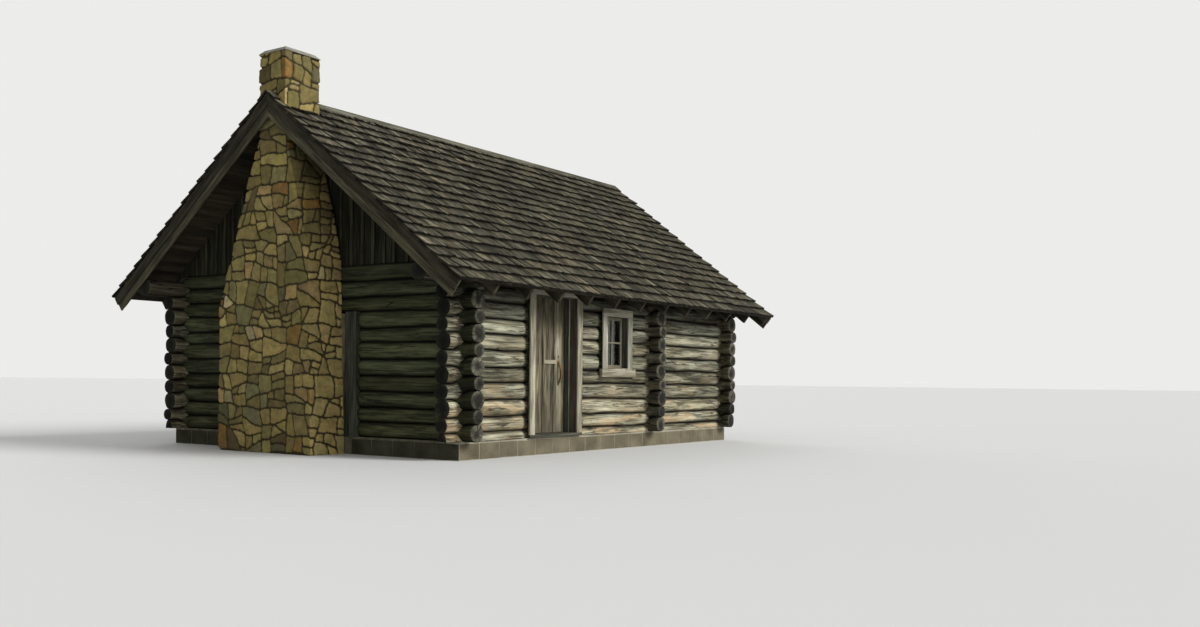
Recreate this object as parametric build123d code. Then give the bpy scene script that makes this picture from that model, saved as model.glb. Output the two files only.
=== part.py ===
from build123d import *
from math import asin, ceil, cos, pi, radians, sin, tan
import os

# Log cabin, millimetres. Origin on the ground under the middle of the roof,
# X along the front wall towards the far gable, Y from the front wall to the back, Z up.

# Plan, measured between log centre lines
house_length = 7000
house_depth = 5600
partition_offset = 4550

# Log courses
course = 214
log_radii = (122, 113, 117)
log_flat_count = 5
corner_reach = 325
ragged_ends = (0, 18, -14, 9)
cross_radius_courses = 1
cross_end_courses = 2
eave_courses = 10
gable_courses = 11
partition_courses = 10
plate_radius = 125
plate_top = 118
plate_inset = 8
notch_fit = 0.3

# Block foundation
block_height = 240
block_face = 115
block_width = 200
ledge_width = 100
ledge_height = 100

# Floor
floor_thickness = 30
floor_gap = 5
joist_width = 50
joist_spacing = 600

# Roof
pitch = 37.5
rafter_depth = 185
rafter_width = 50
rafter_spacing = 700
rafter_seat = 15
eave_run = 748
gable_reach = 840
deck_thickness = 22
shingle_exposure = 235
shingle_thin = 16
shingle_thick = 50
ridge_board_width = 40
ridge_cap_width = 150
ridge_cap_thickness = 22
rafter_setback = 60
deck_setback = 30
rake_overhang = 25
blocking_thickness = 38

# Barge boards
barge_thickness = 22
barge_depth = 235
barge_trim_depth = 120
barge_setback = 20
mitre_gap = 1

# Gable ends
board_thickness = 25
stud_width = 50
stud_depth = 50
stud_spacing = 600

# Chimney, across its face from the front wall centre line
chimney_near_foot = 1970
chimney_far_foot = 3870
chimney_near_shoulder = 2070
chimney_near_shoulder_height = 2780
chimney_far_shoulder_height = 2020
stack_near = 2500
stack_far = 3100
stack_foot_height = 4240
stack_inset = 45
stack_inset_height = 4500
chimney_height = 5500
chimney_depth = 720
wall_clearance = 125
hearth_face = 130
hearth_courses = 8
hearth_width = 900
hearth_height = 750
hearth_depth = 620
flue_size = 260
crown_height = 60
crown_overhang = 20
roof_hole_gap = 6
chimney_post_width = 102
chimney_post_gap = 3

# Boards that line the openings
jamb_depth = 130
casing_width = 120
casing_thickness = 25

# Front door, from the chimney gable centre line
door_offset = 1380
door_opening = 1090
door_courses = 9
door_jamb = 40
threshold_height = 45
threshold_reach = 160
leaf_setback = 80
plank_thickness = 25
plank_count = 5
plank_gap = 3
leaf_side_gap = 5
leaf_latch_gap = 8
leaf_foot_gap = 5
batten_height = 120
batten_count = 3
batten_setback = 180
batten_end_gap = 60
stop_size = 15
stop_gap = 5

# Door furniture
hinge_height = 40
hinge_length = 520
hinge_thickness = 6
hinge_pin_radius = 6
hinge_eye_radius = 11
hinge_pin_offset = 14
pin_clearance = 0.5
pintle_gap = 1
pintle_drop = 16
pintle_plate_width = 36
handle_length = 350
handle_rise = 58
handle_radius = 16
handle_end_radius = 11
handle_side_count = 8
handle_joint_count = 6
handle_inset = 160
handle_height = 1150
latch_length = 300
latch_height = 55
latch_thickness = 20
latch_inset = 230
latch_centre = 1308

# Inner doorway, from the front wall centre line
inner_door_offset = 2300
inner_door_opening = 900
inner_door_courses = 9
inner_jamb = 35

# Windows, from the chimney gable centre line
window_offset = 3185
window_opening = 650
window_first_course = 5
window_courses = 4
window_jamb = 35
window_sill_height = 125
window_sill_reach = 178
window_sill_horn = 60
window_sill_lift = 22
sash_thickness = 36
sash_rail = 50
sash_setback = 20
sash_fit = 1
glass_thickness = 4
glass_bite = 10

slope_cos = cos(radians(pitch))
slope_sin = sin(radians(pitch))
slope_tan = tan(radians(pitch))

half_length = house_length / 2
half_depth = house_depth / 2
half_course = course / 2
wall_base = block_height
partition_x = partition_offset - half_length
plate_height = wall_base + course * eave_courses
rafter_line = plate_height + (plate_radius - rafter_seat) / slope_cos
gable_wall_top = wall_base + course * gable_courses
hearth_top = wall_base + course * hearth_courses
floor_top = wall_base + floor_thickness
stack_front = -half_length - chimney_depth
stack_back = -half_length - wall_clearance
barge_face = gable_reach - rake_overhang
barge_back = barge_face - 2 * barge_thickness
plate_reach = barge_back - plate_inset


def block(x_limits, y_limits, z_limits):
    """Squared timber or masonry between three pairs of limits."""
    x0, x1 = x_limits
    y0, y1 = y_limits
    z0, z1 = z_limits
    centre = Pos((x0 + x1) / 2, (y0 + y1) / 2, (z0 + z1) / 2)
    return centre * Box(x1 - x0, y1 - y0, z1 - z0)


def prism(points, x0, x1):
    """A profile of (y, z) points carried along X."""
    face = Plane.YZ.offset(x0) * Polygon(*points, align=None)
    return extrude(face, amount=x1 - x0, dir=(1, 0, 0))


def save(name, pieces):
    solids = [solid for piece in pieces for solid in piece.solids()]
    export_step(Compound(solids), f"parts/{name}.step")


# Logs, peeled in long flats on their sides and level where one course beds on the next
def log_section(radius, below, above):
    upper = asin(above / radius)
    lower = -asin(below / radius)
    flats = log_flat_count if below else ceil(log_flat_count / 2)
    angles = [upper + index * (lower - upper) / flats for index in range(flats + 1)]
    right = [(radius * cos(angle), radius * sin(angle)) for angle in angles]
    left = [(-x, z) for x, z in reversed(right)]
    return Polygon(*right, *left, align=None)


def log_along_x(section, y, z, x0, x1):
    plane = Plane(origin=(x0, y, z), x_dir=(0, 1, 0), z_dir=(1, 0, 0))
    return extrude(plane * section, amount=x1 - x0, dir=(1, 0, 0))


def log_along_y(section, x, z, y0, y1):
    plane = Plane(origin=(x, y0, z), x_dir=(-1, 0, 0), z_dir=(0, 1, 0))
    return extrude(plane * section, amount=y1 - y0, dir=(0, 1, 0))


def reach_of(row):
    return corner_reach + ragged_ends[row % len(ragged_ends)]


def eave_log_size(row):
    """Radius, depth below and height above the centre of a log in the front or back wall."""
    if row == 0:
        return log_radii[0], 0, half_course
    if row == eave_courses:
        return plate_radius, half_course, plate_top
    return log_radii[row % len(log_radii)], half_course, half_course


def cross_log_size(row):
    """Radius, depth below and height above the centre of a log in a gable or the partition."""
    return log_radii[(row + cross_radius_courses) % len(log_radii)], half_course, half_course


def eave_log_height(row):
    return wall_base + course * row


def cross_log_height(row):
    return wall_base + course * row + half_course


def grown(size):
    radius, below, above = size
    return log_section(radius + notch_fit, below, above + notch_fit)


saddle_reach = 2 * plate_radius


def saddle_under_eave_log(row, x, y):
    """Saddle, scribed to the cross log below, that lets an eave log down over it."""
    section = grown(cross_log_size(row - 1))
    return log_along_y(section, x, cross_log_height(row - 1), y - saddle_reach, y + saddle_reach)


def saddle_under_cross_log(row, x, y):
    """Saddle, scribed to the eave log below, that lets a cross log down over it."""
    section = grown(eave_log_size(row))
    return log_along_x(section, y, eave_log_height(row), x - saddle_reach, x + saddle_reach)


def spans_between(start, end, gaps):
    """The stretches of a log that are left beside the openings in its course."""
    spans = []
    for gap_start, gap_end in sorted(gaps):
        spans.append((start, gap_start))
        start = gap_end
    spans.append((start, end))
    return spans


def eave_wall(side, gaps_in_row):
    """Courses of the front wall (side -1) or the back wall (side 1), lowest first."""
    y = side * half_depth
    rows = []
    for row in range(eave_courses + 1):
        size = eave_log_size(row)
        z = eave_log_height(row)
        reach = plate_reach if row == eave_courses else reach_of(row)
        crossings = (-half_length, partition_x, half_length) if row else ()
        logs = []
        for x0, x1 in spans_between(-half_length - reach, half_length + reach, gaps_in_row(row)):
            log = log_along_x(log_section(*size), y, z, x0, x1)
            for x in crossings:
                if x0 < x < x1:
                    log -= saddle_under_eave_log(row, x, y)
            logs.append(log)
        rows.append(logs)
    return rows


def roof_space():
    """Everything above the undersides of the rafters."""
    top = rafter_line + 2 * house_depth
    far = 2 * house_depth
    low = rafter_line - (far - half_depth) * slope_tan
    ridge = rafter_line + half_depth * slope_tan
    points = [(-far, low), (0, ridge), (far, low), (far, top), (-far, top)]
    return prism(points, -house_length, house_length)


def cross_wall(x, courses, gaps_in_row):
    """Courses of a gable or of the partition, with log ends trimmed under the roof slope."""
    rows = []
    roof = roof_space()
    for row in range(courses):
        size = cross_log_size(row)
        z = cross_log_height(row)
        reach = reach_of(row + cross_end_courses)
        logs = []
        for y0, y1 in spans_between(-half_depth - reach, half_depth + reach, gaps_in_row(row)):
            log = log_along_y(log_section(*size), x, z, y0, y1)
            for y in (-half_depth, half_depth):
                if y0 < y < y1:
                    log -= saddle_under_cross_log(row, x, y)
            if z + half_course > rafter_line - reach * slope_tan:
                log -= roof
            logs.append(log)
        rows.append(logs)
    return rows


def save_wall(name, rows):
    """Neighbouring courses bed on each other, so odd and even courses are two nodes."""
    save(f"{name}_even_logs", [log for row in rows[0::2] for log in row])
    save(f"{name}_odd_logs", [log for row in rows[1::2] for log in row])


door_x = (door_offset - half_length, door_offset + door_opening - half_length)
window_x = (window_offset - half_length, window_offset + window_opening - half_length)
window_rows = range(window_first_course, window_first_course + window_courses)
inner_door_y = (inner_door_offset - half_depth, inner_door_offset + inner_door_opening - half_depth)
post_stack = 2 * (chimney_post_width + chimney_post_gap)
hearth_y = (chimney_near_foot - post_stack - half_depth, chimney_far_foot + post_stack - half_depth)


def front_gaps(row):
    gaps = []
    if row <= door_courses:
        gaps.append(door_x)
    if row in window_rows:
        gaps.append(window_x)
    return gaps


def back_gaps(row):
    return [window_x] if row in window_rows else []


def chimney_gable_gaps(row):
    return [hearth_y] if row < hearth_courses else []


def inner_door_gaps(row):
    return [inner_door_y] if row < inner_door_courses else []


# Block foundation under every log wall, with a ledge inside that carries the joists
def eave_foundation():
    pieces = []
    for side in (-1, 1):
        outer = side * (half_depth + block_face)
        inner = outer - side * block_width
        ledge = inner - side * ledge_width
        end = half_length + block_face
        wall = block((-end, end), sorted((outer, inner)), (0, block_height))
        clear = end - block_width
        shelf_y = sorted((inner, ledge))
        shelf = block((-clear, clear), shelf_y, (0, ledge_height))
        under_partition = (partition_x - block_width / 2, partition_x + block_width / 2)
        shelf -= block(under_partition, shelf_y, (0, ledge_height))
        pieces.append(wall + shelf)
    return pieces


def cross_foundation():
    clear = half_depth + block_face - block_width
    chimney_near = chimney_near_foot - half_depth
    chimney_far = chimney_far_foot - half_depth
    left = (-half_length - block_face, -half_length - block_face + block_width)
    right = (half_length + block_face - block_width, half_length + block_face)
    middle = (partition_x - block_width / 2, partition_x + block_width / 2)
    return [
        block(left, (-clear, chimney_near), (0, block_height)),
        block(left, (chimney_far, clear), (0, block_height)),
        block(middle, (-clear, clear), (0, block_height)),
        block(right, (-clear, clear), (0, block_height)),
    ]


# Two rooms, each with its own floor on joists
def room_limits():
    inner = half_length + block_face - block_width
    main_room = (-inner, partition_x - block_width / 2)
    far_room = (partition_x + block_width / 2, inner)
    return main_room, far_room


def floor_joists():
    joists = []
    reach = half_depth + block_face - block_width
    for x0, x1 in room_limits():
        count = ceil((x1 - x0) / joist_spacing)
        for index in range(count):
            x = x0 + (index + 0.5) * (x1 - x0) / count
            joists.append(block((x - joist_width / 2, x + joist_width / 2), (-reach, reach),
                                (ledge_height, block_height)))
    return joists


def floor_planks():
    edge = jamb_depth + floor_gap
    reach = half_depth - edge
    main_room = (-half_length + edge, partition_x - edge)
    far_room = (partition_x + edge, half_length - edge)
    return [block(limits, (-reach, reach), (wall_base, floor_top)) for limits in (main_room, far_room)]


# Chimney of rubble stone, stepping in from a wide foot to a slim stack
def chimney():
    near_inner = stack_near + stack_inset
    far_inner = stack_far - stack_inset
    outline = [
        (chimney_near_foot, 0),
        (chimney_far_foot, 0),
        (chimney_far_foot, chimney_far_shoulder_height),
        (stack_far, stack_foot_height),
        (far_inner, stack_inset_height),
        (far_inner, chimney_height),
        (near_inner, chimney_height),
        (near_inner, stack_inset_height),
        (stack_near, stack_foot_height),
        (chimney_near_shoulder, chimney_near_shoulder_height),
    ]
    face = [(y - half_depth, z) for y, z in outline]
    mass = prism(face, stack_front, stack_back)
    room_side = -half_length + hearth_face
    mass += block((stack_back, room_side), (chimney_near_foot - half_depth, chimney_far_foot - half_depth),
                  (0, hearth_top))
    firebox = block((room_side - hearth_depth, room_side), (-hearth_width / 2, hearth_width / 2),
                    (floor_top, floor_top + hearth_height))
    return mass - firebox - flue()


def flue():
    x = (stack_front + stack_back) / 2
    y = (stack_near + stack_far) / 2 - half_depth
    half = flue_size / 2
    return block((x - half, x + half), (y - half, y + half), (floor_top, chimney_height + crown_height))


def chimney_crown():
    """Mortar cap that sheds rain from the flue to the edges of the stack."""
    x = (stack_front + stack_back) / 2
    y = (stack_near + stack_far) / 2 - half_depth
    width = stack_back - stack_front + 2 * crown_overhang
    depth = stack_far - stack_near - 2 * stack_inset + 2 * crown_overhang
    foot = Pos(x, y, chimney_height) * Rectangle(width, depth)
    return extrude(foot, amount=crown_height, dir=(0, 0, 1), taper=45) - flue()


def chimney_posts():
    """Upright planks spiked to the log ends on both sides of the stone."""
    near = chimney_near_foot - half_depth
    far = chimney_far_foot - half_depth
    posts = []
    for index in range(2):
        start = index * (chimney_post_width + chimney_post_gap) + chimney_post_gap
        end = start + chimney_post_width
        for limits in ((near - end, near - start), (far + start, far + end)):
            posts.append(block((-half_length - jamb_depth, -half_length + jamb_depth), limits,
                               (wall_base, hearth_top)))
    return posts


# Roof, drawn on each slope from the rafter underside over the wall centre line
def slope_point(side, run, rise):
    """A point run down the slope and rise square off it, as (y, z)."""
    y = half_depth + run * slope_cos + rise * slope_sin
    z = rafter_line - run * slope_sin + rise * slope_cos
    return side * y, z


def ridge_run(rise, gap):
    """How far up the slope a line at this rise meets the plane a gap away from the ridge."""
    return -(half_depth - gap + rise * slope_sin) / slope_cos


def slope_strip(side, low, high, foot, gap, x0, x1):
    """A layer between two rises, square at its foot and plumb at the ridge."""
    points = [
        slope_point(side, foot, low),
        slope_point(side, foot, high),
        slope_point(side, ridge_run(high, gap), high),
        slope_point(side, ridge_run(low, gap), low),
    ]
    return prism(points, x0, x1)


def plate_seats():
    """The two plate logs with their fit, which the rafters are notched over."""
    section = grown(eave_log_size(eave_courses))
    end = half_length + plate_reach + notch_fit
    return [log_along_x(section, side * half_depth, plate_height, -end, end) for side in (-1, 1)]


def rafter_places():
    count = round(house_length / rafter_spacing)
    places = [-half_length + index * house_length / count for index in range(count + 1)]
    fly = half_length + barge_back - rafter_width / 2
    return [-fly] + places + [fly]


def rafters():
    pieces = []
    for side, plate in zip((-1, 1), plate_seats()):
        for x in rafter_places():
            rafter = slope_strip(side, 0, rafter_depth, eave_run - rafter_setback, ridge_board_width / 2,
                                 x - rafter_width / 2, x + rafter_width / 2)
            pieces.append(rafter - plate)
    return pieces


def eave_blocking():
    """Boards on edge between the rafters, from the flat of the plate log to the deck."""
    foot = plate_height + plate_top
    inner = half_depth - blocking_thickness / 2
    outer = half_depth + blocking_thickness / 2
    deck_line = rafter_line + rafter_depth / slope_cos
    profile = [
        (inner, foot),
        (outer, foot),
        (outer, deck_line - blocking_thickness / 2 * slope_tan),
        (inner, deck_line + blocking_thickness / 2 * slope_tan),
    ]
    places = rafter_places()[1:-1]
    top_row = gable_courses - 1
    section = grown(cross_log_size(top_row))
    height = cross_log_height(top_row)
    roof = roof_space()
    ends = [log_along_y(section, x, height, -house_depth, house_depth) - roof
            for x in (-half_length, half_length)]
    boards = []
    for side in (-1, 1):
        points = [(side * y, z) for y, z in profile]
        for start, end in zip(places, places[1:]):
            board = prism(points, start + rafter_width / 2, end - rafter_width / 2)
            boards.append(board - ends)
    return boards


def ridge_boards():
    low = rafter_line + (half_depth - ridge_board_width / 2) * slope_tan
    high = low + rafter_depth / slope_cos
    half = ridge_board_width / 2
    fly = rafter_places()[-1] + rafter_width / 2
    return [
        block((-fly, -fly + rafter_width), (-half, half), (low, high)),
        block((stack_back + roof_hole_gap, fly), (-half, half), (low, high)),
    ]


def roof_hole():
    half = (stack_far - stack_near) / 2 - stack_inset + roof_hole_gap
    return block((stack_front - roof_hole_gap, stack_back + roof_hole_gap), (-half, half),
                 (gable_wall_top, 2 * chimney_height))


def roof_deck():
    edge = half_length + barge_face
    top = rafter_depth + deck_thickness
    foot = eave_run - deck_setback
    hole = roof_hole()
    return [slope_strip(side, rafter_depth, top, foot, mitre_gap / 2, -edge, edge) - hole for side in (-1, 1)]


def shingle_slope(side):
    """Courses of shakes, thick at the butt and thin under the next, and one level course at the ridge."""
    base = rafter_depth + deck_thickness
    top = base + shingle_thick
    count = int((eave_run - ridge_run(base, mitre_gap)) / shingle_exposure)
    points = [slope_point(side, eave_run, base)]
    for index in range(count):
        butt = eave_run - index * shingle_exposure
        points.append(slope_point(side, butt, top))
        points.append(slope_point(side, butt - shingle_exposure, base + shingle_thin))
    points.append(slope_point(side, eave_run - count * shingle_exposure, top))
    points.append(slope_point(side, ridge_run(top, mitre_gap), top))
    points.append(slope_point(side, ridge_run(base, mitre_gap), base))
    edge = half_length + gable_reach
    return prism(points, -edge, edge) - roof_hole()


def ridge_cap():
    base = rafter_depth + deck_thickness + shingle_thick
    edge = half_length + gable_reach
    cap = None
    for side in (-1, 1):
        foot = ridge_run(base, 0) + ridge_cap_width
        leaf = slope_strip(side, base, base + ridge_cap_thickness, foot, 0, -edge, edge)
        cap = leaf if cap is None else cap + leaf
    return cap - roof_hole()


def barge_boards(end):
    """Two boards on each rake, a deep one behind and a narrow one over its upper half."""
    boards = []
    for side in (-1, 1):
        for low, inner in ((rafter_depth - barge_depth, 2), (rafter_depth - barge_trim_depth, 1)):
            back = half_length + barge_face - inner * barge_thickness
            x0, x1 = sorted((end * back, end * (back + barge_thickness)))
            boards.append(slope_strip(side, low, rafter_depth, eave_run - barge_setback, mitre_gap, x0, x1))
    return [boards[0] + boards[1], boards[2] + boards[3]]


# Gable ends above the logs, vertical boards on studs
def gable_boards(end):
    stud_face = half_length + stud_depth / 2
    x0, x1 = sorted((end * stud_face, end * (stud_face + board_thickness)))
    rise = rafter_depth / slope_cos
    foot = half_depth + (rafter_line + rise - gable_wall_top) / slope_tan
    top = rafter_line + rise + half_depth * slope_tan
    panel = prism([(-foot, gable_wall_top), (foot, gable_wall_top), (0, top)], x0, x1)
    return panel - ridge_boards()


def gable_studs():
    reach = half_depth + (rafter_line - gable_wall_top) / slope_tan
    count = int((reach - stud_width) / stud_spacing)
    roof = roof_space()
    studs = []
    for end in (-1, 1):
        for index in range(-count, count + 1):
            y = index * stud_spacing
            stud = block((end * half_length - stud_depth / 2, end * half_length + stud_depth / 2),
                         (y - stud_width / 2, y + stud_width / 2), (gable_wall_top, 2 * chimney_height))
            studs.append(stud - roof - ridge_boards())
    return studs


# Front door
door_clear = (door_x[0] + door_jamb, door_x[1] - door_jamb)
door_head = wall_base + course * door_courses + half_course
door_foot = wall_base + threshold_height
front_y = -half_depth
leaf_y = front_y + leaf_setback
leaf_back = leaf_y + plank_thickness
leaf_x = (door_clear[0] + leaf_side_gap, door_clear[1] - leaf_latch_gap)
leaf_z = (door_foot + leaf_foot_gap, door_head - door_jamb - leaf_foot_gap)
pin_x = door_clear[0]
pin_y = leaf_back + plank_thickness + hinge_pin_offset


def door_frame():
    """Jambs, head and stops, with flat casing boards on the outside."""
    outer = front_y - jamb_depth
    frame = block(door_x, (outer, front_y + jamb_depth), (door_foot, door_head))
    frame -= block(door_clear, (outer, front_y + jamb_depth), (door_foot, door_head - door_jamb))
    stop_y = (leaf_y - stop_gap - stop_size, leaf_y - stop_gap)
    stop = block(door_clear, stop_y, (door_foot, door_head - door_jamb))
    stop -= block((door_clear[0] + stop_size, door_clear[1] - stop_size), stop_y,
                  (door_foot, door_head - door_jamb - stop_size))
    casing_x = (door_clear[0] - casing_width, door_clear[1] + casing_width)
    casing_z = (door_foot, door_head - door_jamb + casing_width)
    casing = block(casing_x, (outer - casing_thickness, outer), casing_z)
    casing -= block(door_clear, (outer - casing_thickness, outer), (door_foot, door_head - door_jamb))
    return frame + stop + casing


def door_threshold():
    return block((door_clear[0] - casing_width, door_clear[1] + casing_width),
                 (front_y - threshold_reach, front_y - jamb_depth), (wall_base, door_foot)) + \
        block(door_x, (front_y - jamb_depth, front_y + jamb_depth), (wall_base, door_foot))


def door_planks():
    width = (leaf_x[1] - leaf_x[0] - (plank_count - 1) * plank_gap) / plank_count
    planks = []
    for index in range(plank_count):
        x = leaf_x[0] + index * (width + plank_gap)
        planks.append(block((x, x + width), (leaf_y, leaf_back), leaf_z))
    return planks


def batten_heights():
    low = leaf_z[0] + batten_setback
    high = leaf_z[1] - batten_setback
    return [low + index * (high - low) / (batten_count - 1) for index in range(batten_count)]


def door_battens():
    x_limits = (leaf_x[0] + batten_end_gap, leaf_x[1] - batten_end_gap)
    y_limits = (leaf_back, leaf_back + plank_thickness)
    half = batten_height / 2
    return [block(x_limits, y_limits, (z - half, z + half)) for z in batten_heights()]


def hinge_heights():
    heights = batten_heights()
    return heights[0], heights[-1]


def hinge_straps():
    """Long straps over the top and bottom battens, each rolled into an eye round its pin."""
    straps = []
    face = leaf_back + plank_thickness
    for z in hinge_heights():
        low = z - hinge_height / 2
        high = z + hinge_height / 2
        strap = block((pin_x, pin_x + hinge_length), (face, face + hinge_thickness), (low, high))
        strap += Pos(pin_x, pin_y, z) * Cylinder(hinge_eye_radius, hinge_height)
        strap -= Pos(pin_x, pin_y, z) * Cylinder(hinge_pin_radius + pin_clearance, hinge_height)
        straps.append(strap)
    return straps


def hinge_pintles():
    """Upright pins, each on an arm from a plate on the jamb edge below the eye."""
    pintles = []
    face = front_y + jamb_depth
    for z in hinge_heights():
        high = z - hinge_height / 2 - pintle_gap
        low = high - pintle_drop
        top = z + hinge_height
        jamb_x = pin_x - door_jamb
        plate_x = (jamb_x, jamb_x + pintle_plate_width)
        plate = block(plate_x, (face, face + hinge_thickness), (low - pintle_drop, high))
        arm = block((jamb_x, pin_x + hinge_pin_radius), (face, pin_y + hinge_pin_radius), (low, high))
        pin = Pos(pin_x, pin_y, (low + top) / 2) * Cylinder(hinge_pin_radius, top - low)
        pintles.append(plate + arm + pin)
    return pintles


def door_handle():
    """A bowed branch, thickest in the middle, with both ends cut flat on the planks."""
    x = leaf_x[1] - handle_inset
    low = (x, leaf_y, handle_height - handle_length / 2)
    middle = (x, leaf_y - handle_rise, handle_height)
    high = (x, leaf_y, handle_height + handle_length / 2)
    path = ThreePointArc(low, middle, high)
    sections = []
    for index in range(handle_joint_count + 1):
        share = index / handle_joint_count
        radius = handle_end_radius + (handle_radius - handle_end_radius) * sin(pi * share)
        plane = Plane(origin=path @ share, x_dir=(1, 0, 0), z_dir=path % share)
        sections.append(plane * RegularPolygon(radius, handle_side_count))
    branch = loft(sections, ruled=True)
    return branch - block((x - handle_length, x + handle_length), (leaf_y, leaf_y + handle_length),
                          (0, 2 * handle_height))


def latch_bar():
    right = leaf_x[1] - latch_inset
    return block((right - latch_length, right), (leaf_y - latch_thickness, leaf_y),
                 (latch_centre - latch_height / 2, latch_centre + latch_height / 2))


# Inner doorway without a leaf
def inner_door_frame():
    top = wall_base + course * inner_door_courses
    x_limits = (partition_x - jamb_depth, partition_x + jamb_depth)
    clear = (inner_door_y[0] + inner_jamb, inner_door_y[1] - inner_jamb)
    frame = block(x_limits, inner_door_y, (wall_base, top))
    return frame - block(x_limits, clear, (floor_top, top - inner_jamb))


# Windows, one in the front wall and one opposite it in the back wall
window_z = (wall_base + course * window_first_course - half_course,
            wall_base + course * (window_first_course + window_courses) - half_course)
window_clear_x = (window_x[0] + window_jamb, window_x[1] - window_jamb)
window_clear_z = (window_z[0] + window_jamb, window_z[1] - window_jamb)


def wall_block(side, x_limits, depth_limits, z_limits):
    """A block placed by its depths outward from the centre line of the front or back wall."""
    y_limits = sorted(side * (half_depth + depth) for depth in depth_limits)
    return block(x_limits, y_limits, z_limits)


def window_frame(side):
    """Lining boards, casing on the outside and a thick sill under it."""
    lining = wall_block(side, window_x, (-jamb_depth, jamb_depth), window_z)
    lining -= wall_block(side, window_clear_x, (-jamb_depth, jamb_depth), window_clear_z)
    sill_top = window_z[0] + window_sill_lift
    casing_x = (window_clear_x[0] - casing_width, window_clear_x[1] + casing_width)
    casing_depth = (jamb_depth, jamb_depth + casing_thickness)
    casing = wall_block(side, casing_x, casing_depth, (sill_top, window_clear_z[1] + casing_width))
    casing -= wall_block(side, window_clear_x, casing_depth, window_clear_z)
    sill_x = (casing_x[0] - window_sill_horn, casing_x[1] + window_sill_horn)
    sill_z = (sill_top - window_sill_height, sill_top)
    sill = wall_block(side, sill_x, (jamb_depth, window_sill_reach), sill_z)
    return lining + casing + sill


def window_sash(side):
    x_limits = (window_clear_x[0] + sash_fit, window_clear_x[1] - sash_fit)
    z_limits = (window_clear_z[0], window_clear_z[1] - sash_fit)
    depths = (sash_setback - sash_thickness / 2, sash_setback + sash_thickness / 2)
    sash = wall_block(side, x_limits, depths, z_limits)
    pane_x = (x_limits[0] + sash_rail, x_limits[1] - sash_rail)
    pane_z = (z_limits[0] + sash_rail, z_limits[1] - sash_rail)
    sash -= wall_block(side, pane_x, depths, pane_z)
    groove_x = (pane_x[0] - glass_bite, pane_x[1] + glass_bite)
    groove_z = (pane_z[0] - glass_bite, pane_z[1] + glass_bite)
    glass_depths = (sash_setback - glass_thickness / 2, sash_setback + glass_thickness / 2)
    glass = wall_block(side, groove_x, glass_depths, groove_z)
    return sash - glass, glass


os.makedirs("parts", exist_ok=True)

save("eave_foundation", eave_foundation())
save("cross_foundation", cross_foundation())
save("floor_joists", floor_joists())
save("floor_planks", floor_planks())
save_wall("front_wall", eave_wall(-1, front_gaps))
save_wall("back_wall", eave_wall(1, back_gaps))
save_wall("chimney_gable", cross_wall(-half_length, gable_courses, chimney_gable_gaps))
save_wall("far_gable", cross_wall(half_length, gable_courses, lambda row: []))
save_wall("partition", cross_wall(partition_x, partition_courses, inner_door_gaps))
save("chimney", [chimney()])
save("chimney_crown", [chimney_crown()])
save("chimney_posts", chimney_posts())
save("chimney_gable_boards", [gable_boards(-1)])
save("far_gable_boards", [gable_boards(1)])
save("gable_studs", gable_studs())
save("rafters", rafters())
save("eave_blocking", eave_blocking())
save("ridge_board", ridge_boards())
save("roof_deck", roof_deck())
save("front_shingles", [shingle_slope(-1)])
save("back_shingles", [shingle_slope(1)])
save("ridge_cap", [ridge_cap()])
save("chimney_gable_barge_boards", barge_boards(-1))
save("far_gable_barge_boards", barge_boards(1))
save("door_frame", [door_frame()])
save("door_threshold", [door_threshold()])
save("door_planks", door_planks())
save("door_battens", door_battens())
save("door_hinge_straps", hinge_straps())
save("door_hinge_pintles", hinge_pintles())
save("door_handle", [door_handle()])
save("door_latch_bar", [latch_bar()])
save("inner_door_frame", [inner_door_frame()])
for name, side in (("front", -1), ("back", 1)):
    sash, glass = window_sash(side)
    save(f"{name}_window_frame", [window_frame(side)])
    save(f"{name}_window_sash", [sash])
    save(f"{name}_window_glass", [glass])
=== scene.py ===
from math import cos, pi, radians, sin, tan

import bpy
import numpy as np
from mathutils import Matrix, Vector


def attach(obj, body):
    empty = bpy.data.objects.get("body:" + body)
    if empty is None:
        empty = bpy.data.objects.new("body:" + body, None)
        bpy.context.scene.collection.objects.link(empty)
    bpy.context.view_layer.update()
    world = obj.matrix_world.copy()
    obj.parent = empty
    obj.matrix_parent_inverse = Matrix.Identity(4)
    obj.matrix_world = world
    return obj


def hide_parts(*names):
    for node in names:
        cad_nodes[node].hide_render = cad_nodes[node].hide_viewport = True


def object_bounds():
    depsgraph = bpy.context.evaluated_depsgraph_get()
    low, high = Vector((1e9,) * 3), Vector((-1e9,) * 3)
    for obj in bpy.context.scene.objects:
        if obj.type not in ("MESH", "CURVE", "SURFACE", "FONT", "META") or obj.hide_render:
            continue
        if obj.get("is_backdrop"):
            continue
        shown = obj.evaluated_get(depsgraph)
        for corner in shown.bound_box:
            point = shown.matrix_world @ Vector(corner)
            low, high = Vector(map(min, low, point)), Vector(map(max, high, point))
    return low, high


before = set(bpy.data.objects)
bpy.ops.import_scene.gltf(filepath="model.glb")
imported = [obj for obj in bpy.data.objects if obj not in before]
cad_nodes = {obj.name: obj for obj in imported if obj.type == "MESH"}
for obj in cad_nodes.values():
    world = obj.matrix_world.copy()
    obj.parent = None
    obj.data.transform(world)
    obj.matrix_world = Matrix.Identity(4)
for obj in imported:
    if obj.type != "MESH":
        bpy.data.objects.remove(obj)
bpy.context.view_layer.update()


# Block foundation
# One course of hollow concrete blocks under every wall, with the face shells a little proud of mortar
# joints that are struck flush and pale. The CAD walls are the mortar. Blocks and mortar come in a lit and a
# shaded copy: painted light on the front blocks and the mortar of the long walls, painted shade on the rest.

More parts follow.
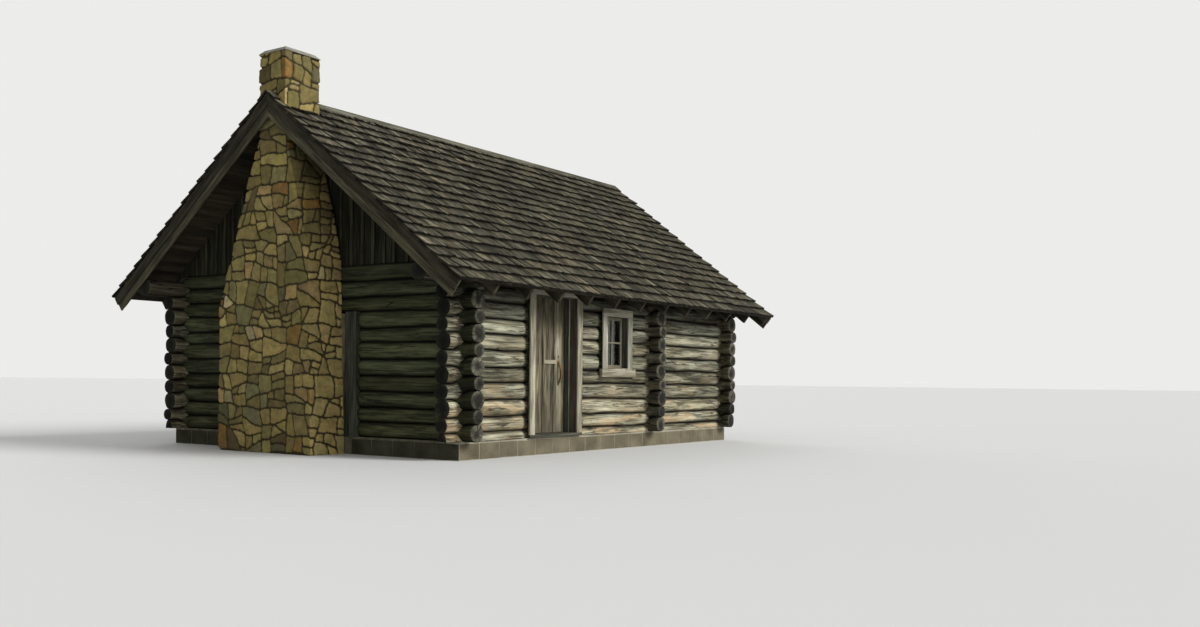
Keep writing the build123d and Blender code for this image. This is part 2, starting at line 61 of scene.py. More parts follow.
def group_tree(name, inputs, outputs):
    """An empty node group with named sockets, with its input and output nodes."""
    tree = bpy.data.node_groups.new(name, "ShaderNodeTree")
    for label, kind, value in inputs:
        socket = tree.interface.new_socket(label, in_out="INPUT", socket_type="NodeSocket" + kind)
        if value is not None:
            socket.default_value = value
    for label, kind in outputs:
        tree.interface.new_socket(label, in_out="OUTPUT", socket_type="NodeSocket" + kind)
    return tree, tree.nodes.new("NodeGroupInput"), tree.nodes.new("NodeGroupOutput")


def put_out(made, **values):
    """Links a group's results to its outputs."""
    for label, value in values.items():
        made.id_data.links.new(value, made.inputs[label])


def add(tree, kind, inputs=None, **settings):
    """One node, with its settings made and its sockets linked or set."""
    node = tree.nodes.new(kind)
    for key, value in settings.items():
        setattr(node, key, value)
    for key, value in (inputs or {}).items():
        if isinstance(value, bpy.types.NodeSocket):
            tree.links.new(value, node.inputs[key])
        else:
            node.inputs[key].default_value = value
    return node


def fed(kind, inputs, output=0, **settings):
    """An output of a new node, made in the tree of the first socket among its inputs."""
    tree = next(value.id_data for value in inputs.values() if isinstance(value, bpy.types.NodeSocket))
    return add(tree, kind, inputs, **settings).outputs[output]


def noise(vector, scale, detail=4.0, roughness=0.55, distortion=0.0):
    return fed("ShaderNodeTexNoise", {"Vector": vector, "Scale": scale, "Detail": detail,
                                      "Roughness": roughness, "Distortion": distortion})


def remap(value, low, high, start=0.0, end=1.0):
    """A value between two marks carried to 0 to 1, or to start to end, and held outside them."""
    return fed("ShaderNodeMapRange", {"Value": value, "From Min": low, "From Max": high,
                                      "To Min": start, "To Max": end})


def worked(operation, first, second=0.0):
    return fed("ShaderNodeMath", {0: first, 1: second}, operation=operation)


def plus(first, second):
    return worked("ADD", first, second)


def times(first, second):
    return worked("MULTIPLY", first, second)


def blended(factor, first, second, kind="MIX"):
    """Two colours mixed. A plain colour is given as red, green and blue."""
    first, second = ((*colour, 1) if isinstance(colour, tuple) else colour for colour in (first, second))
    return fed("ShaderNodeMix", {0: factor, 6: first, 7: second}, 2, data_type="RGBA", blend_type=kind)


def object_place(tree):
    return add(tree, "ShaderNodeTexCoord").outputs["Object"]


def surface_material(name, roughness=0.85):
    """A material with a Principled shader. Returns the material, its tree and the shader."""
    material = bpy.data.materials.new(name)
    material.use_nodes = True
    shader = material.node_tree.nodes["Principled BSDF"]
    shader.inputs["Roughness"].default_value = roughness
    shader.inputs["Specular IOR Level"].default_value = 0.12
    return material, material.node_tree, shader


def dressed(shader, colour, height, relief, roughness=None, strength=1.0):
    """Gives a shader its colour, a bump of the relief's depth and, where it varies, its roughness."""
    tree = shader.id_data
    tree.links.new(colour, shader.inputs["Base Color"])
    if roughness:
        tree.links.new(roughness, shader.inputs["Roughness"])
    bump = add(tree, "ShaderNodeBump", {"Height": height, "Distance": relief, "Strength": strength})
    tree.links.new(bump.outputs[0], shader.inputs["Normal"])


def grit_group():
    """Grit of cast or cut stone: fine speckle, larger mottling and small pits."""
    tree, given, made = group_tree(
        "stone_grit",
        [("Place", "Vector", None), ("Speckle", "Float", 90.0), ("Mottle", "Float", 7.0)],
        [("Shade", "Float"), ("Height", "Float")])
    place, speckle, mottle = given.outputs[:3]
    pits = add(tree, "ShaderNodeTexVoronoi", {"Vector": place, "Scale": speckle}).outputs["Distance"]
    shade = plus(times(noise(place, speckle, 5.0, 0.5), 0.35), times(noise(place, mottle, 6.0, 0.5), 0.65))
    put_out(made, Shade=shade, Height=plus(times(shade, 0.7), times(remap(pits, 0.05, 0.3), 0.3)))
    return tree


stone_grit = grit_group()


def grit(place, speckle, mottle):
    inputs = {"Place": place, "Speckle": speckle, "Mottle": mottle}
    return add(place.id_data, "ShaderNodeGroup", inputs, node_tree=stone_grit).outputs


def masonry_material(name, dark, pale, speckle, mottle, relief):
    material, tree, shader = surface_material(name, 0.92)
    shade, height = grit(object_place(tree), speckle, mottle)
    dressed(shader, blended(remap(shade, 0.35, 0.65), dark, pale), height, relief)
    return material


# Lit and shaded copies of the same block and mortar colours: painted light and painted shade.
lit_block = masonry_material("lit_block", (0.072, 0.062, 0.040), (0.175, 0.152, 0.100), 60.0, 3.0, 0.008)
shaded_block = masonry_material("shaded_block", (0.018, 0.019, 0.011), (0.062, 0.060, 0.040), 60.0, 3.0, 0.008)
lit_mortar = masonry_material("lit_mortar", (0.19, 0.175, 0.13), (0.32, 0.295, 0.225), 80.0, 5.0, 0.004)
shaded_mortar = masonry_material("shaded_mortar", (0.055, 0.053, 0.035), (0.13, 0.122, 0.085), 80.0, 5.0, 0.004)


def grid_faces(rows, columns):
    """Quads of a ring of columns carried over rows, facing out when the ring turns from across to up."""
    i = np.arange(rows - 1)[:, None] * columns
    j = np.arange(columns)[None, :]
    k = (j + 1) % columns
    return np.stack([i + j, i + k, i + columns + k, i + columns + j], -1).reshape(-1, 4)


def carried(origin, along, up, stations, sections, shade=None):
    """A section carried along a line: point (i, j) is the origin, plus station i (or i, j) along the line,
    plus sections[i, j] across and up. Both ends close on the middle of their section. Returns points, faces,
    grain (the same three lengths), a mark for the faces of the two ends and a painted shade, 1 where
    unshaded."""
    forward = np.asarray(along, float)
    forward = forward / np.linalg.norm(forward)
    upward = np.asarray(up, float)
    upward = upward - (upward @ forward) * forward
    upward = upward / np.linalg.norm(upward)
    sideways = np.cross(upward, forward)
    rows, columns = sections.shape[:2]
    stations = np.broadcast_to(np.asarray(stations, float).reshape(rows, -1), (rows, columns))
    grain = np.concatenate([stations[..., None], sections], -1)
    middle = grain[[0, -1]].mean(1, keepdims=True).repeat(columns, 1)
    grain = np.concatenate([middle[:1], grain, middle[1:]])
    points = np.asarray(origin, float) + grain @ np.stack([forward, sideways, upward])
    faces = grid_faces(rows + 2, columns)
    ends = np.zeros((rows + 1, columns), bool)
    ends[[0, -1]] = True
    clean = np.ones((rows + 2, columns))
    if shade is not None:
        clean[1:-1] = shade
    return points.reshape(-1, 3), faces, grain.reshape(-1, 3), ends.ravel(), clean.ravel()


def skin(shape, seed, tint, end_index=0):
    """What a mesh needs of one piece: its shape, its grain with a shift of its own, its tint, its shade and
    the material of its ends."""
    points, faces, grain, ends, shade = shape
    shift = np.random.default_rng(seed).uniform(-40, 40, 3)
    values = np.column_stack([grain + shift, grain, np.full(len(points), tint), shade])
    return points, faces, values, np.where(ends, end_index, 0)


def joined(name, skins, materials, rounded=False, colours=None):
    """One mesh of many skins. Points that meet within a skin become one, and faces that shrink away go."""
    counts = np.array([len(points) for points, _, _, _ in skins])
    offsets = np.concatenate([[0], np.cumsum(counts)[:-1]])
    points, faces, values, which = (np.concatenate(part) for part in zip(*skins))
    faces = faces + np.repeat(offsets, [len(own) for _, own, _, _ in skins])[:, None]
    owner = np.repeat(np.arange(len(skins)), counts)
    keys = np.column_stack([owner, np.round(points * 1e5)]).astype(np.int64)
    _, first, index = np.unique(keys, axis=0, return_index=True, return_inverse=True)
    faces = index.ravel()[faces]
    kept = faces != np.roll(faces, 1, axis=1)
    sizes = kept.sum(1)
    whole = sizes > 2
    faces, kept, sizes, which = faces[whole], kept[whole], sizes[whole], which[whole]
    used = np.unique(faces[kept])
    place = np.zeros(len(first), np.int64)
    place[used] = np.arange(len(used))
    source = first[used]
    mesh = bpy.data.meshes.new(name)
    mesh.vertices.add(len(source))
    mesh.vertices.foreach_set("co", points[source].astype(np.float32).ravel())
    loops = place[faces[kept]]
    mesh.loops.add(len(loops))
    mesh.loops.foreach_set("vertex_index", loops.astype(np.int32))
    mesh.polygons.add(len(sizes))
    mesh.polygons.foreach_set("loop_start", np.concatenate([[0], np.cumsum(sizes)[:-1]]).astype(np.int32))
    mesh.polygons.foreach_set("material_index", which.astype(np.int32))
    mesh.update(calc_edges=True)
    mesh.polygons.foreach_set("use_smooth", np.full(len(sizes), rounded))
    fields = [("grain", "FLOAT_VECTOR", "vector", values[:, 0:3]),
              ("local", "FLOAT_VECTOR", "vector", values[:, 3:6]),
              ("tint", "FLOAT", "value", values[:, 6]), ("shade", "FLOAT", "value", values[:, 7])]
    if colours is not None:
        fields.append(("colour", "FLOAT_COLOR", "color", colours))
    for label, kind, field, data in fields:
        data = data[source].astype(np.float32).ravel()
        mesh.attributes.new(label, kind, "POINT").data.foreach_set(field, data)
    mesh.validate()
    piece = bpy.data.objects.new(name, mesh)
    bpy.context.scene.collection.objects.link(piece)
    for material in materials:
        mesh.materials.append(material)
    return piece


def placed(piece, slot, *nodes, body="cabin"):
    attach(piece, body)
    if nodes:
        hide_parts(*nodes)


def finished(material, *nodes):
    """Gives CAD nodes whose shape is right their material."""
    for node in nodes:
        mesh = cad_nodes[node].data
        mesh.materials.clear()
        mesh.materials.append(material)


def waves(rng, x, lengths, heights):
    """A sum of sines of x with the given wavelengths and heights and random phases."""
    parts = zip(lengths, heights, rng.uniform(0, 2 * pi, len(lengths)))
    return sum(height * np.sin(2 * pi * x / length + phase) for length, height, phase in parts)


def board_profile(width, thickness, edge):
    """Twelve points round a board's section, with its corners eased."""
    a, b, c = width / 2, thickness / 2, edge
    return np.array([(a, c - b), (a, b - c), (a - c, b), (a / 3, b), (-a / 3, b), (c - a, b),
                     (-a, b - c), (-a, c - b), (c - a, -b), (-a / 3, -b), (a / 3, -b), (a - c, -b)])


def board(start, along, up, length, width, thickness, rng, edge=0.003, wander=0.0015, lean=0.0, clean=1.0):
    """A board from the middle of its start: its section carried along, with edges that wander by a few sines.
    Its far end slopes by lean, a length along for each length across. The last argument is the painted shade
    of its two edges: below 1 they are painted darker, as if in shade."""
    stations = np.linspace(0, length, max(2, int(length / 0.3) + 1))
    profile = board_profile(width, thickness, edge)
    lengths = (0.9 * length + 0.1, 0.37 * length + 0.05)
    grow = 1 + waves(rng, stations, lengths, (wander / width, wander / width))
    sections = profile[None] * np.stack([grow, np.ones_like(grow)], -1)[:, None]
    sections[..., 0] += waves(rng, stations, lengths, (wander, wander))[:, None]
    slope = lean * (stations / length)[:, None]
    # Painted shade: the points on the two long edges take the given edge shade.
    shade = np.where(np.abs(profile[:, 0]) > width / 2 - edge / 2, clean, 1.0)
    return carried(start, along, up, stations[:, None] + slope * sections[..., 0], sections, shade)


axes = np.eye(3)
block_length, block_joint, block_rise, bed_joint = 0.40, 0.017, 0.205, 0.008
shell_depth, shell_proud = 0.016, 0.004
foundation_x, foundation_y = 3.615, 2.915
hearth_near, hearth_far = -0.83, 1.07
rng = np.random.default_rng(11)
blocks = []
for axis, reach, face in ((0, foundation_x, foundation_y), (1, foundation_y, foundation_x)):
    count = round(2 * reach / block_length)
    spacing = 2 * reach / count
    length = spacing - block_joint
    for side in (-1, 1):
        out = axes[1 - axis] * side
        for index in range(count):
            middle = -reach + (index + 0.5) * spacing
            behind_hearth = hearth_near - length / 2 < middle < hearth_far + length / 2
            if axis == 1 and side == -1 and behind_hearth:
                continue
            depth = face + shell_proud - shell_depth / 2 + rng.uniform(-0.0015, 0.0015)
            start = axes[axis] * (middle - length / 2) + out * depth + axes[2] * (bed_joint + block_rise / 2)
            shape = board(start, axes[axis], out, length, block_rise, shell_depth, rng, 0.004, 0.001)
            points, faces, values, _ = skin(shape, index, 0.5)
            # Painted light and shade: the front blocks take the lit colour, the rest take the shaded colour.
            shaded_side = int(axis == 1 or side == 1)
            blocks.append((points, faces, values, np.full(len(faces), shaded_side)))
placed(joined("foundation_blocks", blocks, [lit_block, shaded_block]), "concrete_block")
finished(lit_mortar, "eave_foundation")
finished(shaded_mortar, "cross_foundation")


# Floor
# Sawn boards 140 mm wide, nailed along the cabin on joists that rest on the block ledges. Indoors they have
# kept their brown.

def stretched(vector, factors):
    return fed("ShaderNodeVectorMath", {0: vector, 1: factors}, operation="MULTIPLY")


def minus(first, second):
    return worked("SUBTRACT", first, second)


def combined(x, y, z):
    return fed("ShaderNodeCombineXYZ", {0: x, 1: y, 2: z})


def split(vector):
    return add(vector.id_data, "ShaderNodeSeparateXYZ", {0: vector}).outputs


def dimmed(colour, level):
    """A colour times a level that changes over the surface."""
    return blended(1.0, colour, fed("ShaderNodeCombineColor", {0: level, 1: level, 2: level}), "MULTIPLY")


def attribute(tree, name, output="Fac"):
    return add(tree, "ShaderNodeAttribute", attribute_name=name).outputs[output]


def figure_group():
    """Figure of weathered wood on a piece's own grain coordinates (along, across, up): fine fibres and broad
    streaks drawn out along the grain, stains, drying checks and a few dark knots. Contrast spreads light and
    dark about their middle and widens the checks. Each piece is a little warmer or cooler than the next."""
    tree, given, made = group_tree(
        "wood_figure",
        [("Grain", "Vector", None), ("Tint", "Float", 0.5), ("Pale", "Color", (0.4, 0.36, 0.3, 1)),
         ("Dark", "Color", (0.1, 0.09, 0.07, 1)), ("Stain", "Color", (0.2, 0.16, 0.1, 1)),
         ("Fineness", "Float", 30.0), ("Staining", "Float", 0.5), ("Checks", "Float", 1.0),
         ("Knots", "Float", 1.0), ("Contrast", "Float", 1.0)],
        [("Color", "Color"), ("Height", "Float"), ("Roughness", "Float")])
    grain, tint, pale, dark, stain, fineness, staining, checks, knots, contrast = given.outputs[:10]
    fibres = combined(times(fineness, 0.045), fineness, fineness)
    fibre = noise(stretched(grain, fibres), 1.6, 7.0, 0.62, 0.15)
    streak = noise(stretched(grain, (0.8, 9.0, 9.0)), 1.3, 4.0, 0.55, 0.3)
    patch = noise(stretched(grain, (1.1, 3.2, 3.2)), 1.0, 5.0, 0.6, 0.4)
    lump = noise(stretched(grain, (4.5, 13.0, 13.0)), 1.0, 3.0)
    crack = noise(stretched(grain, (0.5, 9.0, 9.0)), 1.0, 3.0, 0.5, 0.25)
    gape = worked("DIVIDE", worked("ABSOLUTE", minus(crack, 0.5)), contrast)
    check = times(times(remap(gape, 0.002, 0.011, 1.0, 0.0), remap(patch, 0.47, 0.53)), checks)
    cells = {"Vector": stretched(grain, (2.0, 5.5, 5.5)), "Scale": 1.0}
    cell = add(tree, "ShaderNodeTexVoronoi", cells).outputs
    few = remap(fed("ShaderNodeSeparateColor", {0: cell["Color"]}), 0.72, 0.74)
    knot = times(times(remap(cell["Distance"], 0.07, 0.15, 1.0, 0.0), few), knots)
    light = plus(times(fibre, 0.5), times(streak, 0.5))
    light = plus(times(minus(light, 0.53), contrast), 0.53)
    colour = blended(remap(light, 0.41, 0.65), dark, pale)
    own = remap(noise(stretched(grain, (0.03, 0.03, 0.03)), 1.0, 1.0), 0.35, 0.65)
    colour = blended(1.0, colour, blended(own, (0.96, 1.0, 0.99), (1.06, 0.99, 0.87)), "MULTIPLY")
    colour = blended(times(remap(patch, 0.45, 0.66), staining), colour, stain)
    colour = blended(times(knot, 0.75), colour, (0.035, 0.028, 0.02))
    colour = blended(times(check, 0.85), colour, (0.018, 0.016, 0.012))
    colour = dimmed(colour, remap(tint, 0.0, 2.0, 0.55, 2.21))
    height = plus(plus(times(fibre, 0.4), times(streak, 0.6)), times(lump, 0.8))
    height = minus(height, times(check, 0.9))
    put_out(made, Color=colour, Height=height, Roughness=remap(fibre, 0.3, 0.7, 0.95, 0.78))
    return tree


wood_figure = figure_group()


def figure(grain, tint, pale, dark, stain, fineness=30.0, staining=0.5, checks=1.0, knots=1.0, contrast=1.0):
    """The wood figure placed in a material. Returns its colour, height and roughness."""
    inputs = {"Grain": grain, "Tint": tint, "Pale": (*pale, 1), "Dark": (*dark, 1), "Stain": (*stain, 1),
              "Fineness": fineness, "Staining": staining, "Checks": checks, "Knots": knots,
              "Contrast": contrast}
    return add(grain.id_data, "ShaderNodeGroup", inputs, node_tree=wood_figure).outputs


def wood_material(name, pale, dark, stain, relief=0.004, shaded_share=0.3, bare=None, **figures):
    """Weathered wood for pieces made here, which carry their grain, tint and painted shade. The shaded share
    is what is left of the colour where the painted shade is 0. Bare is the colour that shows in patches near
    the ground, where the grey skin has come off."""
    material, tree, shader = surface_material(name)
    grain = attribute(tree, "grain", "Vector")
    colour, height, roughness = figure(grain, attribute(tree, "tint"), pale, dark, stain, **figures)
    if bare:
        flaked = remap(noise(stretched(grain, (1.5, 6.0, 6.0)), 1.0, 5.0, 0.6, 0.4), 0.52, 0.6)
        low = remap(split(object_place(tree))[2], 0.6, 1.15, 0.75, 0.0)
        colour = blended(times(flaked, low), colour, blended(0.55, colour, bare))
    # Painted shade: the colour is darkened by the shade attribute, down to the shaded share.
    colour = dimmed(colour, remap(attribute(tree, "shade"), 0.0, 1.0, shaded_share, 1.0))
    dressed(shader, colour, height, relief, roughness)
    return material


def cad_wood_material(name, pale, dark, stain, turn=None, relief=0.004, **figures):
    """Weathered wood for CAD nodes, whose grain is their Object coordinates, turned along the piece."""
    material, tree, shader = surface_material(name)
    grain = turn(object_place(tree)) if turn else object_place(tree)
    tint = remap(noise(stretched(grain, (0.2, 6.0, 6.0)), 1.0, 1.0), 0.35, 0.65)
    colour, height, roughness = figure(grain, tint, pale, dark, stain, **figures)
    dressed(shader, colour, height, relief, roughness)
    return material


floor_wood = cad_wood_material("floor_wood", (0.30, 0.235, 0.16), (0.13, 0.10, 0.065), (0.17, 0.12, 0.08),
                               fineness=26.0, checks=0.4)
finished(floor_wood, "floor_planks", "floor_joists")


# Log walls
# Peeled round logs, silvered outside, bedded on each other and saddle-notched at the corners, where their
# sawn ends run on past the crossing wall.

course, half_course = 0.214, 0.107
wall_x, wall_y, partition_x, wall_base = 3.5, 2.8, 1.05, 0.24
log_radii, plate_radius, plate_top = (0.122, 0.113, 0.117), 0.125, 0.118
ragged_ends = (0.0, 0.018, -0.014, 0.009)
corner_reach, plate_reach = 0.325, 0.763
eave_rows, cross_rows, partition_rows, hearth_rows, window_rows = 11, 11, 10, 8, (5, 8)
pitch, rafter_seat, rafter_depth = radians(37.5), 0.110, 0.185
rafter_line = wall_base + (eave_rows - 1) * course + rafter_seat / cos(pitch)
ring_places = np.linspace(0, 2 * pi, 30, endpoint=False)
squareness = 2.25


def smooth(value):
    """0 to 1 with level ends."""
    value = np.clip(value, 0, 1)
    return value * value * (3 - 2 * value)


def seam(wall, row, x):
    """How far the seam over a course of a wall wanders up or down: a sum of long sines, and past the corners
    a step up or down by turns, so that the free ends are large and small."""
    rng = np.random.default_rng(1000 * wall + row)
    wander = waves(rng, x, (5.1, 2.3, 1.1, 0.55), (0.005, 0.004, 0.003, 0.0015))
    wander = wander + rng.uniform(-0.019, 0.019) + rng.choice((-1, 1)) * 0.0025 * x
    corner = (wall_x if wall < 3 else wall_y) + 0.12
    step = (-1) ** row * rng.uniform(0.002, 0.024)
    return wander + (step - wander) * smooth((np.abs(x) - corner) / 0.1)


def log(origin, along, t0, t1, radius, rng, below, above, corner, cuts, outward):
    """A log from t0 to t1 along its axis. Its section is the superellipse
    |across / a| ** 2.25 + |up / b| ** 2.25 = 1, where a and b swell with long sines round and along the log
    and with knots, cut level where it beds on its neighbours and rounder past the corners. Where it is cut
    for an opening its weather side is hewn back. The last 8 mm at each end draw in to 94 %."""
    steps = np.array([0.008, 0.03, 0.06, 0.09, 0.12, 0.16, 0.2])
    inner = np.linspace(t0 + 0.25, t1 - 0.25, max(2, int((t1 - t0 - 0.5) / 0.075)))
    t = np.concatenate([[t0], t0 + steps, inner, t1 - steps[::-1], [t1]])
    angle = ring_places[None, :]
    c, s = np.cos(angle), np.sin(angle)
    shape = (np.abs(c) ** squareness + np.abs(s) ** squareness) ** (-1 / squareness)
    swell = 1 + waves(rng, t, (3.7, 1.3, 0.6, 0.31), (0.02, 0.015, 0.010, 0.006))[:, None]
    for lobes, depth in ((2, 0.012), (3, 0.012), (5, 0.011), (8, 0.006)):
        turn = waves(rng, t, (4.0, 1.7, 0.8), (1.5, 0.8, 0.4))[:, None]
        swell = swell + depth * np.sin(lobes * angle + turn + rng.uniform(0, 6))
    for _ in range(int((t1 - t0) / 0.7)):
        place, turn = rng.uniform(t0, t1), rng.uniform(0, 2 * pi)
        apart = np.angle(np.exp(1j * (angle - turn)))
        knot = np.exp(-((t[:, None] - place) / 0.055) ** 2 - (apart / 0.35) ** 2)
        swell = swell + rng.uniform(0.03, 0.08) * knot
    top = np.asarray(above(t))[:, None] * np.ones_like(angle)
    foot = np.asarray(below(t))[:, None] * np.ones_like(angle)
    free = smooth((np.abs(t) - corner - 0.1) / 0.1)[:, None]
    lift = np.maximum(np.where(s > 0, top, foot) * (1.09 - 0.06 * free), 0.02)
    across = radius * c * shape * swell * (1 + 0.8 * free * ((top + foot) / course - 1))
    hewn = np.zeros(len(t))
    for end, cut in zip((t0, t1), cuts):
        if cut:
            hewn = np.maximum(hewn, cut[0] * smooth((cut[1] - np.abs(t - end)) / 0.11))
    hewn = hewn[:, None] * np.clip(across * outward / radius, 0, 1)
    across = across * (1 - hewn)
    height = np.clip(lift * s * shape * swell * (1 - 1.1 * hewn), -foot, top)
    edge = np.ones((len(t), 1))
    edge[[0, -1]] = 0.94
    bow = waves(rng, t, (6.0, 2.6), (0.007, 0.004))[:, None]
    middle = (top - foot) / 2
    sections = np.stack([across * edge + bow, middle + (height - middle) * edge], -1)
    tilt = rng.uniform(-0.06, 0.06, 2)
    lean = np.zeros((len(t), len(ring_places)))
    lean[:2] = tilt[0] * across[:2]
    lean[-2:] = tilt[1] * across[-2:]
    # Painted shade: darker where the log beds on its neighbours and where it is hewn back beside an opening.
    bed = np.where(height > 0, height / np.maximum(top, 0.01), -height / np.maximum(foot, 0.01))
    shade = (1 - smooth((bed - 0.62) / 0.36)) * (1 - 0.6 * smooth(hewn / 0.3))
    return carried(origin, along, (0, 0, 1), t[:, None] + lean, sections, shade)


def log_wall(name, wall, axis, offset, rows, base, reach_of, size_of, gaps_of, materials, spread):
    """All the courses of a wall as one mesh, each log cut where an opening breaks its course. Logs get
    painted shade under the roof, and the free ends of cross logs get painted shade too. Cross logs stay under
    the rafters."""
    corner = wall_x if axis == 0 else wall_y
    outward = np.sign(offset) * (1 if axis == 0 else -1)
    roof_shade, end_shade = (0.6, 0.0) if axis == 0 else (0.25, 0.55)
    skins = []
    for row in range(rows):
        radius, foot, top = size_of(row)
        reach = reach_of(row)
        origin = axes[1 - axis] * offset + axes[2] * (base + course * row)
        under = (lambda x: np.full_like(x, foot)) if row == 0 else (lambda x: foot - seam(wall, row - 1, x))
        over = (lambda x: np.full_like(x, top)) if row == rows - 1 else (lambda x: top + seam(wall, row, x))
        start, first_cut, spans = -reach, None, []
        for a, b, cut in gaps_of(row):
            spans.append((start, a, (first_cut, cut)))
            start, first_cut = b, cut
        spans.append((start, reach, (first_cut, None)))
        tint = np.clip(np.random.default_rng(77 * wall + 5 * row + 3).normal(0.5, spread), 0, 1)
        for part, (t0, t1, cuts) in enumerate(spans):
            rng = np.random.default_rng(10000 * wall + 100 * row + part)
            shape = log(origin, axes[axis], t0, t1, radius, rng, under, over, corner, cuts, outward)
            points = shape[0]
            if axis == 1:
                ceiling = rafter_line - 0.002 - (np.abs(points[:, 1]) - wall_y) * tan(pitch)
                points[:, 2] = np.minimum(points[:, 2], ceiling)
            # Painted shade under the roof overhang, and on the free ends of cross logs past the corner.
            eave_shade = roof_shade * smooth((points[:, 2] - 1.85) / 0.5)
            stub_shade = end_shade * smooth((np.abs(points[:, axis]) - corner - 0.04) / 0.12)
            shape = (*shape[:4], shape[4] * (1 - eave_shade) * (1 - stub_shade))
            skins.append(skin(shape, 10000 * wall + 100 * row, tint, 1))
    piece = joined(name + "_logs", skins, materials, True)
    placed(piece, "weathered_log", name + "_even_logs", name + "_odd_logs")


def end_group():
    """Sawn end of a log on lengths across and up from its heart: fine growth rings and broader bands, a few
    checks that run out from the heart and a paler rim where the sapwood is, wide on some logs."""
    tree, given, made = group_tree(
        "log_end_figure",
        [("Local", "Vector", None), ("Grain", "Vector", None),
         ("Heart", "Color", (0.08, 0.08, 0.07, 1)), ("Sap", "Color", (0.2, 0.2, 0.18, 1))],
        [("Color", "Color"), ("Height", "Float")])
    local, grain, heart, sap = given.outputs[:4]
    _, across, up = split(local)
    radius = worked("SQRT", plus(times(across, across), times(up, up)))
    warp = noise(grain, 9.0, 3.0)
    bent = plus(radius, times(minus(warp, 0.5), 0.05))
    ring = remap(worked("SINE", times(bent, 520.0)), -1.0, 1.0)
    band = remap(worked("SINE", times(bent, 210.0)), -1.0, 1.0)
    turn = worked("ARCTAN2", across, up)
    spoke = combined(times(worked("SINE", turn), 2.2), times(worked("COSINE", turn), 2.2), times(warp, 0.3))
    slow_grain = stretched(grain, (0.05, 0.05, 0.05))
    spread = noise(fed("ShaderNodeVectorMath", {0: spoke, 1: slow_grain}, operation="ADD"), 1.5, 2.0)
    check = remap(worked("ABSOLUTE", minus(spread, 0.5)), 0.006, 0.034, 1.0, 0.0)
    check = times(check, remap(radius, 0.008, 0.03))
    speckle = noise(grain, 55.0, 5.0)
    reach = plus(bent, times(minus(noise(slow_grain, 1.0, 1.0), 0.5), 0.16))
    rim = times(remap(reach, 0.045, 0.105), remap(warp, 0.35, 0.6, 0.3, 1.0))
    lines = plus(times(ring, 0.25), times(band, 0.3))
    colour = dimmed(blended(rim, heart, sap), plus(lines, remap(speckle, 0.3, 0.7, 0.3, 1.1)))
    colour = blended(times(check, 0.85), colour, (0.012, 0.011, 0.009))
    put_out(made, Color=colour, Height=minus(plus(times(ring, 0.25), speckle), check))
    return tree


log_end_figure = end_group()


def end_material(name, heart, sap):
    material, tree, shader = surface_material(name, 0.9)
    inputs = {"Local": attribute(tree, "local", "Vector"), "Grain": attribute(tree, "grain", "Vector"),
              "Heart": (*heart, 1), "Sap": (*sap, 1)}
    colour, height = add(tree, "ShaderNodeGroup", inputs, node_tree=log_end_figure).outputs
    dressed(shader, dimmed(colour, remap(attribute(tree, "tint"), 0.0, 1.0, 0.45, 1.55)), height, 0.003)
    return material


log_figure = dict(relief=0.018, fineness=30.0, checks=1.0, knots=1.0)
silver_log = wood_material("silver_log", (0.395, 0.388, 0.300), (0.050, 0.049, 0.036), (0.185, 0.152, 0.086),
                           shaded_share=0.08, bare=(0.56, 0.40, 0.23), staining=0.6, contrast=1.35, **log_figure)
# A shaded copy of the log colours for the chimney gable: painted shade.
shaded_log = wood_material("shaded_log", (0.090, 0.100, 0.053), (0.016, 0.0185, 0.010), (0.045, 0.049, 0.022),
                         shaded_share=0.10, staining=0.6, contrast=1.2, **log_figure)
plain_log = wood_material("plain_log", (0.25, 0.235, 0.17), (0.040, 0.037, 0.026), (0.13, 0.105, 0.06),
                          shaded_share=0.10, staining=0.55, contrast=1.3, **log_figure)
silver_end = end_material("silver_log_end", (0.020, 0.0195, 0.015), (0.122, 0.116, 0.085))
# A shaded copy of the log-end colours for the ends of the long walls' logs: painted shade.
shaded_end = end_material("shaded_log_end", (0.005, 0.005, 0.004), (0.018, 0.0185, 0.012))

opening_cut, passage_cut, hearth_cut = (0.34, 0.19), (0.1, 0.1), (0.28, 0.10)
door_gap, window_gap = (-2.12, -1.03, opening_cut), (-0.315, 0.335, opening_cut)
passage_gap, hearth_gap = (-0.5, 0.4, passage_cut), (-1.04, 1.28, hearth_cut)


def eave_size(row):
    """Radius of an eave log, and how far it reaches down and up."""
    if row == 0:
        return log_radii[0], 0.0, half_course
    if row == eave_rows - 1:
        return plate_radius, half_course, plate_top
    return log_radii[row % 3], half_course, half_course


def cross_size(row):
    return log_radii[(row + 1) % 3], half_course, half_course


def eave_reach(row):
    return wall_x + (plate_reach if row == eave_rows - 1 else corner_reach + ragged_ends[row % 4])


def cross_reach(row):
    return wall_y + corner_reach + ragged_ends[(row + 2) % 4]


def window_gaps(row):
    return [window_gap] if window_rows[0] <= row <= window_rows[1] else []


def front_gaps(row):
    return ([door_gap] if row < eave_rows - 1 else []) + window_gaps(row)


